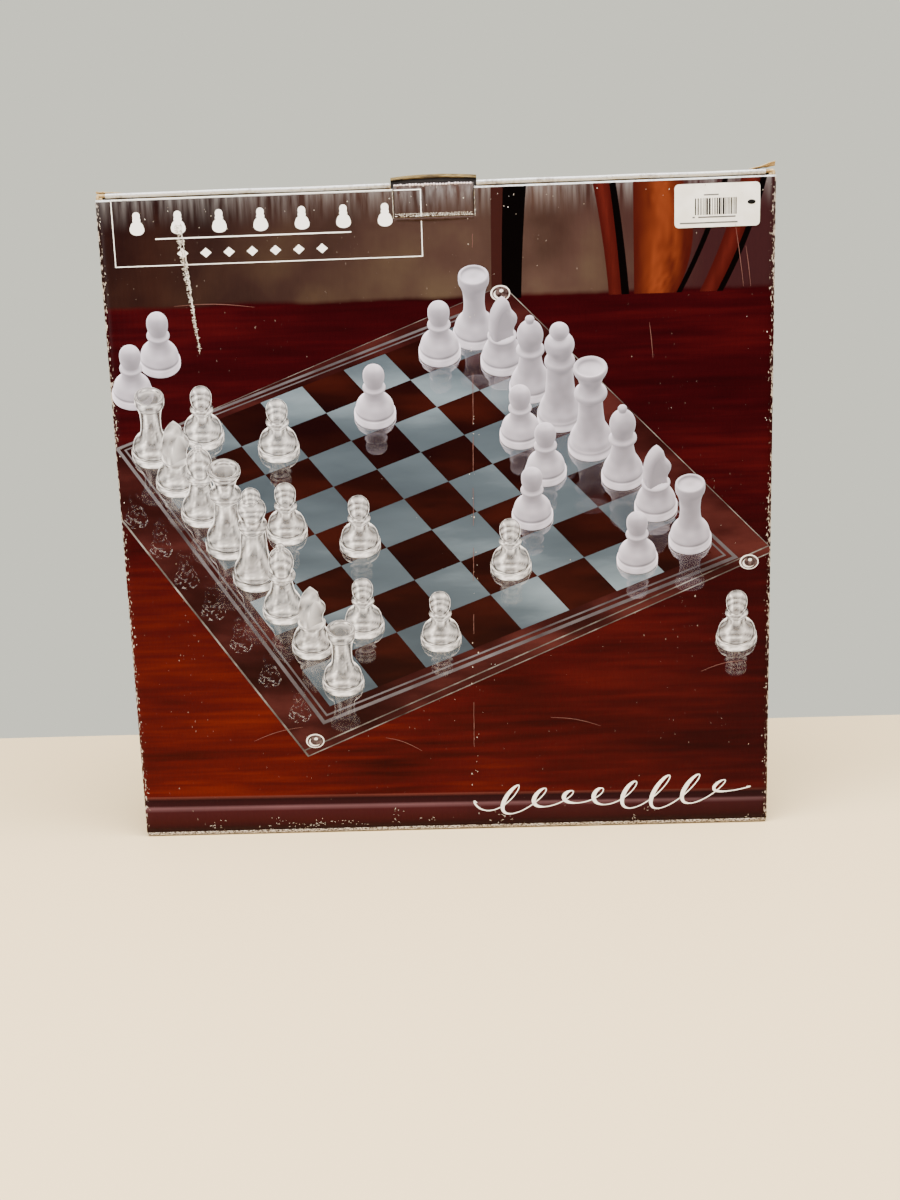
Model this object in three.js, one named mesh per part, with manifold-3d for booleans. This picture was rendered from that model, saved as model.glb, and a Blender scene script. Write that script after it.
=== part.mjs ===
// A boxed glass chess set, standing on its hinge edge. A corrugated book-style
// carton holds a foam tray, a glass board on four bumper feet and 32 glass pieces.
// Millimetres, +Z up, the printed lid faces -Y, origin under the middle of the carton.
import * as THREE from 'three';
import { mergeVertices } from 'three/addons/utils/BufferGeometryUtils.js';
import Module from 'manifold-3d';

const wasm = await Module();
wasm.setup();

// Carton
const SIDE = 381;            // width and height of the carton's face
const DEPTH = 62;            // front to back
const BOARD = 1.6;           // E-flute corrugated board
const GAP = 0.3;             // clearance between touching pieces
const LID_FOOT = 2.9;        // lower edge of the lid, above its hinge
const LID_TOP = 376.5;       // upper edge of the lid, below the rolled top wall
const CORNER_FLAP = 60;      // length of the glued corner flaps
const HINGE_SET_BACK = 0.4;  // the hinge wall's front edge, behind the side walls

// Sticker, set into the lid's face near its upper right corner
const LABEL = 0.2;
const LABEL_GAP = 0.02;
const LABEL_X = [134, 182];
const LABEL_Z = [350.5, 374.5];

// Lock tab and the finger notch behind it
const TAB_WIDTH = 45;
const TAB_FOOT = 362;
const TAB_TOP = 380.4;
const NOTCH_WIDTH = 48.6;
const NOTCH_DEPTH = 9;

// Tuck flap and its ears
const FLAP_DEPTH = 30;
const FLAP_TOP = 374.5;
const EAR_HEIGHT = 39;
const EAR_CLEAR = 0.5;

// Glass board, with feet on the side that faces the lid
const GLASS_SIDE = 350;
const GLASS_THICK = 4;
const GLASS_FOOT = 8;        // height of its lower edge
const GLASS_BACK = -20.6;    // its rear face
const FOOT_RADIUS = 7;
const FOOT_INSET = 15;

// Foam tray
const TRAY_HALF = 182.4;
const TRAY_FRONT = -26;
const TRAY_TOP = 372.3;
const RECESS_HALF = 167;
const RECESS_FLOOR = -4;
const RECESS_Z = [16, 350];
const REBATE_CLEAR = 0.6;
const POCKET_FLOOR = 11.2;
const POCKET_CLEAR = 0.7;
const POCKET_SLOPE = 1.2;     // run of the step between wide and narrow, per millimetre of it
const POCKET_CHAMFER = 3;

// Rows of pieces, lying on their sides in the tray
const PIECE_Y = -4.6;
const ROWS = 8;
const ROW_START = 46;
const ROW_PITCH = 41;
const MAJOR_BASE = 161;
const PAWN_BASE = 66;
const SEGMENTS = 10;

const half = SIDE / 2;
const front = -DEPTH / 2;
const back = DEPTH / 2;
const wallFront = front + BOARD + GAP;
const wallBack = back - BOARD - GAP;
const outerWall = half - BOARD;
const flapWall = outerWall - GAP - BOARD;
const innerWall = flapWall - GAP - BOARD;
const object = new THREE.Group();

function finish(colour, roughness) {
  return new THREE.MeshStandardMaterial({ color: colour, roughness, metalness: 0 });
}

function glass(colour, roughness) {
  const material = finish(colour, roughness);
  material.transparent = true;
  material.opacity = 0.5;
  return material;
}

const kraft = () => finish(0xb49a6c, 0.85);
const print = () => finish(0x5c1512, 0.3);
const foam = () => finish(0xf2f2ee, 0.9);
const clear = () => glass(0xd9e4e4, 0.03);
const frosted = () => glass(0xdcd6dc, 0.5);

// A block between two opposite corners.
function block(x, y, z) {
  const shape = new THREE.BoxGeometry(x[1] - x[0], y[1] - y[0], z[1] - z[0]);
  return shape.translate((x[0] + x[1]) / 2, (y[0] + y[1]) / 2, (z[0] + z[1]) / 2);
}

function add(name, geometry, material) {
  const mesh = new THREE.Mesh(geometry, material);
  mesh.name = name;
  object.add(mesh);
}

// Two distances from the middle plane, as a span along X on the side of the sign.
function across(near, far, sign) {
  return sign < 0 ? [-far, -near] : [near, far];
}

function toSolid(geometry) {
  const bare = geometry.clone();
  bare.deleteAttribute('normal');
  bare.deleteAttribute('uv');
  const merged = mergeVertices(bare, 1e-4);
  return new wasm.Manifold(new wasm.Mesh({
    numProp: 3,
    vertProperties: new Float32Array(merged.attributes.position.array),
    triVerts: new Uint32Array(merged.index.array),
  }));
}

function toGeometry(solid) {
  const mesh = solid.getMesh();
  const geometry = new THREE.BufferGeometry();
  geometry.setAttribute('position', new THREE.BufferAttribute(mesh.vertProperties, 3));
  geometry.setIndex(new THREE.BufferAttribute(mesh.triVerts, 1));
  geometry.computeVertexNormals();
  return geometry;
}

// Carton shell: back panel, two three-ply side walls, rolled top wall, hinge wall.
add('back_panel', block([-half, half], [back - BOARD, back], [0, SIDE]), print());
for (const [side, sign] of [['left', -1], ['right', 1]]) {
  const depth = [wallFront, wallBack];
  add(`${side}_wall_outer`, block(across(outerWall, half, sign), depth, [0, SIDE]), print());
  add(`${side}_wall_inner`,
    block(across(innerWall, innerWall + BOARD, sign), depth, [BOARD + GAP, LID_TOP]), kraft());
  const flap = across(flapWall, flapWall + BOARD, sign);
  const top = SIDE - BOARD - GAP;
  add(`${side}_corner_flap_top`, block(flap, depth, [top - CORNER_FLAP, top]), kraft());
  add(`${side}_corner_flap_bottom`,
    block(flap, depth, [BOARD + GAP, BOARD + GAP + CORNER_FLAP]), kraft());
}

const topSpan = outerWall - GAP;
const notch = toSolid(block([-NOTCH_WIDTH / 2, NOTCH_WIDTH / 2],
  [front - 1, front + NOTCH_DEPTH], [LID_TOP, SIDE + 1]));
const topOuter = toSolid(block([-topSpan, topSpan], [front, wallBack], [SIDE - BOARD, SIDE]));
add('top_wall_outer', toGeometry(topOuter.subtract(notch)), print());
const innerTop = SIDE - BOARD - GAP;
const topInner = toSolid(block([GAP - innerWall, innerWall - GAP], [front, wallBack],
  [innerTop - BOARD, innerTop]));
add('top_wall_inner', toGeometry(topInner.subtract(notch)), kraft());
add('hinge_wall',
  block([-topSpan, topSpan], [wallFront + HINGE_SET_BACK, wallBack], [0, BOARD]), print());

// Lid: the printed front panel, cut away around the lock tab.
const face = front + LABEL;
const lid = toSolid(block([-half, half], [front, front + BOARD], [LID_FOOT, LID_TOP]));
const tabSlot = toSolid(block([-TAB_WIDTH / 2 - GAP, TAB_WIDTH / 2 + GAP],
  [front - 1, front + BOARD + 1], [TAB_FOOT - GAP, LID_TOP + 1]));
const labelSeat = toSolid(block(LABEL_X, [front - 1, face], LABEL_Z));
add('lid_panel', toGeometry(lid.subtract(tabSlot).subtract(labelSeat)), print());
const paper = finish(0xf0ebe1, 0.5);
add('barcode_label', block([LABEL_X[0] + GAP, LABEL_X[1] - GAP],
  [front, face - LABEL_GAP], [LABEL_Z[0] + GAP, LABEL_Z[1] - GAP]), paper);
add('lock_tab', block([-TAB_WIDTH / 2, TAB_WIDTH / 2], [front, front + BOARD],
  [TAB_FOOT, TAB_TOP]), print());

// Tuck flap, folded back inside the top wall, with an ear hanging from each end.
const flapHalf = innerWall - EAR_CLEAR;
const flapReach = [wallFront, wallFront + FLAP_DEPTH];
add('tuck_flap', block([-flapHalf, flapHalf], flapReach, [FLAP_TOP - BOARD, FLAP_TOP]), kraft());
const earTop = FLAP_TOP - BOARD - GAP;
for (const [side, sign] of [['left', -1], ['right', 1]]) {
  const wide = across(flapHalf - BOARD, flapHalf, sign);
  add(`ear_${side}`, block(wide, flapReach, [earTop - EAR_HEIGHT, earTop]), kraft());
}

// Turned pieces: [radius, height] from the base to the crown.
const MEN = {
  pawn: [[13.5, 0], [13.5, 5], [11.2, 12], [6.6, 18], [6.4, 21.5], [7.4, 24], [5.9, 27],
    [7, 33], [4.8, 39.5], [0, 41]],
  rook: [[14, 0], [14, 5], [11.4, 13], [7, 21], [6.8, 32], [8.6, 42], [9.8, 48.5], [0, 50]],
  knight: [[14, 0], [14, 5], [11.4, 13], [9.2, 17], [8.6, 23], [0, 23.4]],
  bishop: [[14, 0], [14, 5], [10.8, 14], [7.4, 23], [7, 29], [9, 33.5], [7, 37], [8.4, 45],
    [3.4, 55], [3, 58], [0, 60]],
  queen: [[15, 0], [15, 6], [11.6, 15], [8.6, 25], [7.8, 38], [10.6, 45], [7.2, 52],
    [10.6, 63], [11, 66], [0, 67]],
  king: [[15, 0], [15, 6], [11.8, 15], [9.6, 23], [8.4, 43], [9.8, 48], [7.6, 53], [9.6, 61],
    [5.4, 67], [6.2, 71], [3, 76], [0, 77]],
};

// The knight's head: nose, brow, ears and mane in outline, [across, height].
const HEAD = [[-7.5, 20], [7.5, 20], [6.6, 27], [9.6, 32], [10, 35.5], [5, 42], [4, 46.5],
  [1, 52], [-5.4, 44], [-8, 37], [-8.4, 30]];
const HEAD_THICK = 11;

// The pocket each piece lies in: half widths at its base and neck, where it steps in, and length.
const POCKETS = {
  pawn: { base: 13.5, step: 12, neck: 7.6, length: 41 },
  rook: { base: 14, step: 14, neck: 9.8, length: 50 },
  knight: { base: 14, step: 14, neck: 11.6, length: 52 },
  bishop: { base: 14, step: 15, neck: 9, length: 60 },
  queen: { base: 15, step: 17, neck: 11, length: 67 },
  king: { base: 15, step: 17, neck: 9.6, length: 77 },
};

function turned(profile) {
  const points = [new THREE.Vector2(0, 0), ...profile.map(([r, h]) => new THREE.Vector2(r, h))];
  const bare = new THREE.LatheGeometry(points, SEGMENTS);
  bare.deleteAttribute('normal');
  bare.deleteAttribute('uv');
  return mergeVertices(bare, 1e-4);
}

function knight() {
  const outline = new THREE.Shape(HEAD.map(([x, y]) => new THREE.Vector2(x, y)));
  const head = new THREE.ExtrudeGeometry(outline, { depth: HEAD_THICK, bevelEnabled: false });
  head.translate(0, 0, -HEAD_THICK / 2);
  return toGeometry(toSolid(turned(MEN.knight)).add(toSolid(head)));
}

// Lays a standing piece on its side, its base at the given place and its crown pointing inward.
function lay(geometry, x, z) {
  const inward = Math.sign(-x);
  return geometry.clone().rotateZ(-inward * Math.PI / 2).rotateX(Math.PI / 2)
    .translate(x, PIECE_Y, z);
}

function pocket(kind, x, z) {
  const { base, step, neck, length } = POCKETS[kind];
  const shape = new THREE.Shape();
  const wide = base + POCKET_CLEAR;
  const narrow = neck + POCKET_CLEAR;
  const slope = (wide - narrow) * POCKET_SLOPE;
  const end = length + POCKET_CHAMFER;
  shape.moveTo(-POCKET_CLEAR, -wide);
  shape.lineTo(step, -wide);
  shape.lineTo(step + slope, -narrow);
  shape.lineTo(end - POCKET_CHAMFER, -narrow);
  shape.lineTo(end, POCKET_CHAMFER - narrow);
  shape.lineTo(end, narrow - POCKET_CHAMFER);
  shape.lineTo(end - POCKET_CHAMFER, narrow);
  shape.lineTo(step + slope, narrow);
  shape.lineTo(step, wide);
  shape.lineTo(-POCKET_CLEAR, wide);
  const depth = POCKET_FLOOR - RECESS_FLOOR + 1;
  const cut = new THREE.ExtrudeGeometry(shape, { depth, bevelEnabled: false });
  cut.rotateX(Math.PI / 2).translate(0, POCKET_FLOOR, 0);
  if (x > 0) cut.rotateY(Math.PI);
  return toSolid(cut.translate(x, 0, z));
}

// Foam tray: a rebate for the board, a recess, and a pocket under each piece.
const BACK_ROW = ['rook', 'knight', 'bishop', 'queen', 'king', 'bishop', 'knight', 'rook'];
const shapes = { knight: knight() };
for (const kind of Object.keys(MEN)) shapes[kind] ??= turned(MEN[kind]);

let tray = toSolid(block([-TRAY_HALF, TRAY_HALF], [TRAY_FRONT, wallBack],
  [BOARD + GAP, TRAY_TOP]));
const rebateHalf = GLASS_SIDE / 2 + REBATE_CLEAR;
tray = tray.subtract(toSolid(block([-rebateHalf, rebateHalf], [TRAY_FRONT - 1, GLASS_BACK + GAP],
  [GLASS_FOOT - GAP, GLASS_FOOT + GLASS_SIDE + 1])));
tray = tray.subtract(toSolid(block([-RECESS_HALF, RECESS_HALF], [TRAY_FRONT - 1, RECESS_FLOOR],
  RECESS_Z)));

for (const [tone, sign, material] of [['clear', -1, clear], ['frosted', 1, frosted]]) {
  for (let row = 0; row < ROWS; row += 1) {
    const z = ROW_START + ROW_PITCH * row;
    const kind = BACK_ROW[row];
    const pair = BACK_ROW.indexOf(kind) === row ? 1 : 2;
    const single = kind === 'king' || kind === 'queen';
    const name = single ? `${tone}_${kind}` : `${tone}_${kind}_${pair}`;
    tray = tray.subtract(pocket(kind, sign * MAJOR_BASE, z));
    tray = tray.subtract(pocket('pawn', sign * PAWN_BASE, z));
    add(name, lay(shapes[kind], sign * MAJOR_BASE, z), material());
    add(`${tone}_pawn_${row + 1}`, lay(shapes.pawn, sign * PAWN_BASE, z), material());
  }
}
add('foam_tray', toGeometry(tray), foam());

// Glass board and its four clear bumper feet.
const glassFront = GLASS_BACK - GLASS_THICK;
add('glass_board', block([-GLASS_SIDE / 2, GLASS_SIDE / 2], [glassFront, GLASS_BACK],
  [GLASS_FOOT, GLASS_FOOT + GLASS_SIDE]), clear());
const dome = turned([[FOOT_RADIUS, 0], [FOOT_RADIUS - 0.5, 2], [FOOT_RADIUS - 2.5, 3.6], [0, 4]]);
dome.rotateX(Math.PI);
const reach = GLASS_SIDE / 2 - FOOT_INSET;
for (const [side, x] of [['left', -reach], ['right', reach]]) {
  for (const [end, rise] of [['bottom', FOOT_INSET], ['top', GLASS_SIDE - FOOT_INSET]]) {
    const foot = dome.clone().translate(x, glassFront, GLASS_FOOT + rise);
    add(`bumper_${side}_${end}`, foot, clear());
  }
}

export default object;
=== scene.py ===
"""A boxed glass chess set: a glossy corrugated carton standing on its hinge edge."""
import math
import random

import bmesh
import bpy
import numpy as np
from mathutils import Matrix, Vector, noise


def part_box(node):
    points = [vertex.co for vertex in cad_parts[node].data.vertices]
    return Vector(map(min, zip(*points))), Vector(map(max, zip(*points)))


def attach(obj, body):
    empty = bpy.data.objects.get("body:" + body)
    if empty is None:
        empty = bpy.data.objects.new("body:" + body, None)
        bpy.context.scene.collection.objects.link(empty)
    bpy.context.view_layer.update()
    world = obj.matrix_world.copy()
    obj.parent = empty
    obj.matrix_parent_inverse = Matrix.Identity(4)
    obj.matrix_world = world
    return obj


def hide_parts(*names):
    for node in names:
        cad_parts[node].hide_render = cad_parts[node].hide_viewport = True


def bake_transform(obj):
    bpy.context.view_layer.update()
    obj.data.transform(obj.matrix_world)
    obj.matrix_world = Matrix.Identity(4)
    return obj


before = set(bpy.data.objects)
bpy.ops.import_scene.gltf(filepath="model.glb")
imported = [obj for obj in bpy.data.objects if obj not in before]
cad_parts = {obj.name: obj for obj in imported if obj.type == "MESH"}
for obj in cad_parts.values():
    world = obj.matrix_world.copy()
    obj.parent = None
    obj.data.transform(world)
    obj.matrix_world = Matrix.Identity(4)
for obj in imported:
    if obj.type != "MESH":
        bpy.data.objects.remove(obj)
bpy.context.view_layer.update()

# Studio. A cream table top that ends a little behind the carton, a pale grey
# room behind it, a broad soft light overhead and a weak one from the left.
MM = 0.001


def hex_colour(code):
    """An sRGB hex colour as linear red, green, blue and alpha."""
    channels = [int(code[i:i + 2], 16) / 255 for i in (0, 2, 4)]
    linear = [c / 12.92 if c <= 0.04045 else ((c + 0.055) / 1.055) ** 2.4 for c in channels]
    return (*linear, 1.0)


def add_node(tree, kind, settings=None, links=None):
    """Adds a node, sets its properties and inputs by name, and links the named inputs."""
    made = tree.nodes.new(kind)
    for name, value in (settings or {}).items():
        if name in made.inputs:
            made.inputs[name].default_value = value
        elif isinstance(name, int):
            made.inputs[name].default_value = value
        else:
            setattr(made, name, value)
    for name, source in (links or {}).items():
        tree.links.new(source, made.inputs[name])
    return made


def start_material(name, **values):
    """A new Principled material with its shader's own sockets set."""
    material = bpy.data.materials.new(name)
    material.use_nodes = True
    tree = material.node_tree
    shader = tree.nodes["Principled BSDF"]
    for key, value in values.items():
        shader.inputs[key.replace("_", " ").title().replace("Ior", "IOR")].default_value = value
    return material, tree, shader


def finish_piece(name, bm, materials, smooth=True, sharp=None):
    """Turns a bmesh into a named object at the origin. Edges past sharp degrees stay crisp."""
    mesh = bpy.data.meshes.new(name)
    bm.to_mesh(mesh)
    bm.free()
    for material in materials:
        mesh.materials.append(material)
    if smooth:
        mesh.shade_smooth()
    if sharp:
        mesh.set_sharp_from_angle(angle=math.radians(sharp))
    piece = bpy.data.objects.new(name, mesh)
    bpy.context.scene.collection.objects.link(piece)
    return piece


def set_out(bm, verts, middle, size, turn=Matrix()):
    """Sizes, turns and then moves some of a shape's vertices."""
    bmesh.ops.transform(bm, verts=verts, matrix=Matrix.Translation(middle) @ turn
                        @ Matrix.Diagonal((*size, 1)))


def slice_at(bm, point, normal, clear=False):
    """Cuts a shape along a plane and, where asked, drops what lies beyond it."""
    bmesh.ops.bisect_plane(bm, geom=bm.verts[:] + bm.edges[:] + bm.faces[:],
                           plane_co=point, plane_no=normal, clear_outer=clear)


UPRIGHT = Matrix.Rotation(math.radians(90), 4, "X")
table_paint = start_material("cream_laminate", base_color=hex_colour("f3d6a6"), roughness=0.5,
                             specular_ior_level=0.2)[0]
table_bm = bmesh.new()
bmesh.ops.create_grid(table_bm, x_segments=1, y_segments=1, size=1)
set_out(table_bm, table_bm.verts, (0, -1.0, 0), (2.4, 1.195, 1))
table = finish_piece("table_top", table_bm, [table_paint], smooth=False)

room = bpy.data.worlds.new("pale_room")
room.use_nodes = True
ROOM_STRENGTH = 1.0
way = add_node(room.node_tree, "ShaderNodeSeparateXYZ", links={
    "Vector": add_node(room.node_tree, "ShaderNodeTexCoord").outputs["Generated"]})
wall = add_node(room.node_tree, "ShaderNodeValToRGB", links={"Fac": add_node(
    room.node_tree, "ShaderNodeMapRange", {"From Min": -0.6, "From Max": 0.5},
    {"Value": way.outputs["Y"]}).outputs[0]})
wall.color_ramp.elements[0].color = hex_colour("343435")
wall.color_ramp.elements[1].color = hex_colour("f7f6e5")
room_light = room.node_tree.nodes["Background"]
room_light.inputs["Strength"].default_value = ROOM_STRENGTH
room.node_tree.links.new(wall.outputs["Color"], room_light.inputs["Color"])
bpy.context.scene.world = room


def add_light(name, place, aim, size, power):
    lamp = bpy.data.lights.new(name, "AREA")
    lamp.shape = "RECTANGLE"
    lamp.size, lamp.size_y = size
    lamp.energy = power
    holder = bpy.data.objects.new(name, lamp)
    holder.location = place
    holder.rotation_euler = (Vector(aim) - Vector(place)).to_track_quat("-Z", "Y").to_euler()
    bpy.context.scene.collection.objects.link(holder)


add_light("overhead_softbox", (0.1, -0.42, 1.35), (0, 0, 0.2), (1.6, 0.9), 74)
add_light("left_fill", (-1.5, -1.1, 0.9), (0, 0, 0.15), (0.9, 0.9), 30)

# Camera: about 0.67 m in front of the lid, 0.26 m up, looking slightly down.
eye = Vector((0.0185, -0.7034, 0.261))
ahead = Vector((-0.0246, 0.98475, -0.1722))
above = Vector((0.0291, 0.1729, 0.9845))
beside = ahead.cross(above)
lens = bpy.data.cameras.new("front_view")
lens.lens = 34.5
camera = bpy.data.objects.new("front_view", lens)
camera.matrix_world = Matrix.Translation(eye) @ Matrix(
    (beside, above, -ahead)).transposed().to_4x4()
bpy.context.scene.collection.objects.link(camera)
bpy.context.scene.camera = camera

# Litho print: a glossy varnished sheet glued to the board, shared by the lid and
# the outside of the carton. It shows a dim brown backdrop above a cherry table top
# and a dark moulding along the foot. The flutes telegraph through the paper.
FLUTE = 3.4 * MM
TABLE_LINE = 0.317
MOULDING_LINE = 0.0242
MOULDING_SLOPE = -0.0092
CARTON_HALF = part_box("lid_panel")[1][0]
CARTON_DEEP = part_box("back_panel")[1][1]
CARTON_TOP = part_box("top_wall_outer")[1][2]
LID_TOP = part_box("lid_panel")[1][2]
FOLD_RUB_SHEEN_BAND = 18 * MM
EDGE_WEAR = 4 * MM

litho, litho_tree, litho_shader = start_material(
    "varnished_litho_paper", roughness=0.3, specular_ior_level=0.035)


def maths(operation, a, b=0.0, tree=litho_tree, clamp=False):
    """A Math node whose two inputs are numbers or sockets."""
    made = add_node(tree, "ShaderNodeMath", {"operation": operation, "use_clamp": clamp})
    for index, value in enumerate((a, b)):
        if isinstance(value, (int, float)):
            made.inputs[index].default_value = value
        else:
            tree.links.new(value, made.inputs[index])
    return made.outputs[0]


def mixed(factor, first, second, tree=litho_tree):
    """A colour mix of two sockets or two hex colours."""
    made = add_node(tree, "ShaderNodeMix", {"data_type": "RGBA"})
    tree.links.new(factor, made.inputs["Factor"])
    for index, value in ((6, first), (7, second)):
        if isinstance(value, str):
            made.inputs[index].default_value = hex_colour(value)
        else:
            tree.links.new(value, made.inputs[index])
    return made.outputs[2]


place = add_node(litho_tree, "ShaderNodeTexCoord").outputs["Object"]
axes = add_node(litho_tree, "ShaderNodeSeparateXYZ", links={"Vector": place})


def streaks(scale, detail, stretch, tree=litho_tree, where=place):
    """Noise drawn out along X by the stretch, its cells about 1/scale metres high."""
    turned_place = add_node(tree, "ShaderNodeMapping", {"Scale": (1 / stretch, 1, 1)},
                            {"Vector": where})
    return add_node(tree, "ShaderNodeTexNoise", {"Scale": scale, "Detail": detail},
                    {"Vector": turned_place.outputs[0]}).outputs["Fac"]


def ramp(factor, stops, tree=litho_tree):
    """A colour ramp through (position, hex colour) stops."""
    made = add_node(tree, "ShaderNodeValToRGB", links={"Fac": factor})
    band = made.color_ramp
    while len(band.elements) < len(stops):
        band.elements.new(0.5)
    for element, (position, code) in zip(band.elements, stops):
        element.position = position
        element.color = hex_colour(code)
    return made.outputs["Color"]


def ease(value, start, slope, tree=litho_tree):
    """How far a value is past the start, times the slope, held between 0 and 1."""
    return maths("MULTIPLY", maths("SUBTRACT", value, start, tree), slope, tree, clamp=True)


def weigh(first, share, second, rest, tree=litho_tree):
    """The weighted sum of two values."""
    return maths("ADD", maths("MULTIPLY", first, share, tree),
                 maths("MULTIPLY", second, rest, tree), tree)


along, deep, up = (axes.outputs[axis] for axis in "XYZ")
grain = weigh(streaks(26, 5, 4), 0.6, streaks(260, 3, 16), 0.4)
wood_dark = ramp(grain, [(0.34, "190204"), (0.5, "260306"), (0.66, "380709")])
wood_light = ramp(grain, [(0.34, "260403"), (0.5, "430a07"), (0.66, "591608")])
nearness = ease(up, 0.235, -5.2)
side_fall = maths("ADD", maths("MULTIPLY", maths("ADD", along, 0.05), -3.0), 0.8, clamp=True)
wood = mixed(maths("MULTIPLY", nearness, side_fall), wood_dark, wood_light)
cloudy = streaks(20, 4, 1)
backdrop_left = ramp(cloudy, [(0.3, "100707"), (0.5, "1b0c0b"), (0.7, "281611")])
backdrop_right = ramp(cloudy, [(0.3, "30211c"), (0.5, "402f29"), (0.7, "4e4133")])
backdrop = mixed(ease(along, -0.16, 4.6), backdrop_left, backdrop_right)
backdrop = mixed(ease(along, 0.06, 11.0), backdrop, "2a1416")
ripple = maths("MULTIPLY", maths("SUBTRACT", cloudy, 0.5), 0.006)
is_backdrop = ease(maths("ADD", up, ripple), TABLE_LINE, 400)
moulding_top = maths("ADD", MOULDING_LINE, maths("MULTIPLY", along, MOULDING_SLOPE))
moulding = ramp(maths("DIVIDE", up, moulding_top),
                [(0.0, "0c0406"), (0.12, "1c090c"), (0.35, "35100f"), (0.6, "3c1518"),
                 (0.7, "6a4a50"), (0.76, "2a0e12"), (0.9, "1e070a"), (0.975, "5c2c26")])
moulding = mixed(maths("MULTIPLY", ease(along, -0.02, 3.2), 0.62), moulding, "12070b")
moulding = mixed(maths("MULTIPLY", streaks(90, 4, 5), 0.55), moulding, "1a080b")
picture = mixed(ease(moulding_top, up, 1600), mixed(is_backdrop, wood, backdrop), moulding)

# Rubbed paper: pale flecks thick along every fold of the carton, and soft vertical
# rubs below the rolled top edge of its front, in a silver grey that is partly a painted sheen.
edge_x = maths("ABSOLUTE", maths("SUBTRACT", CARTON_HALF, maths("ABSOLUTE", along)))
edge_y = maths("ABSOLUTE", maths("SUBTRACT", CARTON_DEEP, maths("ABSOLUTE", deep)))
edge_z = maths("MINIMUM", up, maths("SUBTRACT", CARTON_TOP, up))
edge = maths("MAXIMUM", maths("MINIMUM", edge_x, edge_y),
             maths("MINIMUM", maths("MAXIMUM", edge_x, edge_y), edge_z))
near_edge = ease(edge, EDGE_WEAR, -1 / EDGE_WEAR)
fleck_place = add_node(litho_tree, "ShaderNodeMapping", {"Scale": (2.2, 1, 0.8)},
                       {"Vector": place})
fleck = add_node(litho_tree, "ShaderNodeTexNoise", {"Scale": 420, "Detail": 4},
                 {"Vector": fleck_place.outputs[0]}).outputs["Fac"]
patchy = streaks(28, 3, 1)
worn = ease(maths("ADD", weigh(near_edge, 0.26, patchy, 0.22), fleck), 0.845, 14)
fold_place = add_node(litho_tree, "ShaderNodeMapping", {"Scale": (1, 1, 0.09)},
                      {"Vector": place})
fold_streak = add_node(litho_tree, "ShaderNodeTexNoise", {"Scale": 330, "Detail": 3},
                       {"Vector": fold_place.outputs[0]}).outputs["Fac"]
near_fold = maths("MULTIPLY", ease(up, LID_TOP - FOLD_RUB_SHEEN_BAND, 1 / FOLD_RUB_SHEEN_BAND),
                  ease(deep, -0.026, -500))
# Painted silver sheen, mixed with rub marks, in a band below the lid's top fold.
fold_rub_and_sheen = maths("MULTIPLY", ease(fold_streak, 0.36, 2.6),
                 maths("MULTIPLY", maths("POWER", near_fold, 1.7), 0.32))
worn_and_sheen_colour = mixed(fold_rub_and_sheen, mixed(worn, picture, "b9ada0"), "a9a6a6")
litho_tree.links.new(worn_and_sheen_colour, litho_shader.inputs["Base Color"])
flutes = add_node(litho_tree, "ShaderNodeTexWave",
                  {"Scale": 2 * math.pi / FLUTE / 20, "Distortion": 0.6, "Detail": 1,
                   "bands_direction": "X"}, {"Vector": place}).outputs["Fac"]
dents = add_node(litho_tree, "ShaderNodeTexNoise", {"Scale": 22, "Detail": 2},
                 {"Vector": place}).outputs["Fac"]
relief = maths("ADD", maths("MULTIPLY", flutes, 0.06), dents)
litho_tree.links.new(add_node(litho_tree, "ShaderNodeBump", {"Strength": 0.35, "Distance": 0.0022},
                              {"Height": relief}).outputs[0], litho_shader.inputs["Normal"])

# Raw board: brown kraft liner with fine fibres and the flutes showing through.
KRAFT_FIBRE = 900
kraft, kraft_tree, kraft_shader = start_material("kraft_liner", roughness=0.86)
kraft_place = add_node(kraft_tree, "ShaderNodeTexCoord").outputs["Object"]
fibre = streaks(KRAFT_FIBRE, 4, 3, kraft_tree, kraft_place)
blotch = streaks(30, 3, 1, kraft_tree, kraft_place)
tone = weigh(fibre, 0.6, blotch, 0.4, kraft_tree)
kraft_tree.links.new(ramp(tone, [(0.3, "8d7146"), (0.5, "ad9265"), (0.7, "c2aa7f")], kraft_tree),
                     kraft_shader.inputs["Base Color"])
kraft_flutes = add_node(kraft_tree, "ShaderNodeTexWave",
                        {"Scale": 2 * math.pi / FLUTE / 20, "bands_direction": "X"},
                        {"Vector": kraft_place}).outputs["Fac"]
kraft_relief = weigh(kraft_flutes, 0.5, fibre, 0.3, kraft_tree)
kraft_tree.links.new(add_node(kraft_tree, "ShaderNodeBump", {"Strength": 0.3, "Distance": 0.0004},
                              {"Height": kraft_relief}).outputs[0], kraft_shader.inputs["Normal"])

# Carton wrap. Back panel, side walls, top wall and hinge wall are one scored and
# folded sheet, printed outside and raw kraft inside, open at the front. The top
# wall has a finger notch at the middle of its front edge.
BOARD = 1.6 * MM
low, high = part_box("back_panel")
wall_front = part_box("left_wall_outer")[0][1]
NOTCH_HALF = 24.3 * MM
NOTCH_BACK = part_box("top_wall_outer")[0][1] + 9 * MM


def fold_board(piece, thickness=BOARD):
    """Gives a printed skin its thickness, raw kraft inside and along the cut edges."""
    wall = piece.modifiers.new("board", "SOLIDIFY")
    wall.thickness = thickness
    wall.offset = -1
    wall.material_offset = 1
    wall.material_offset_rim = 1


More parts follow.
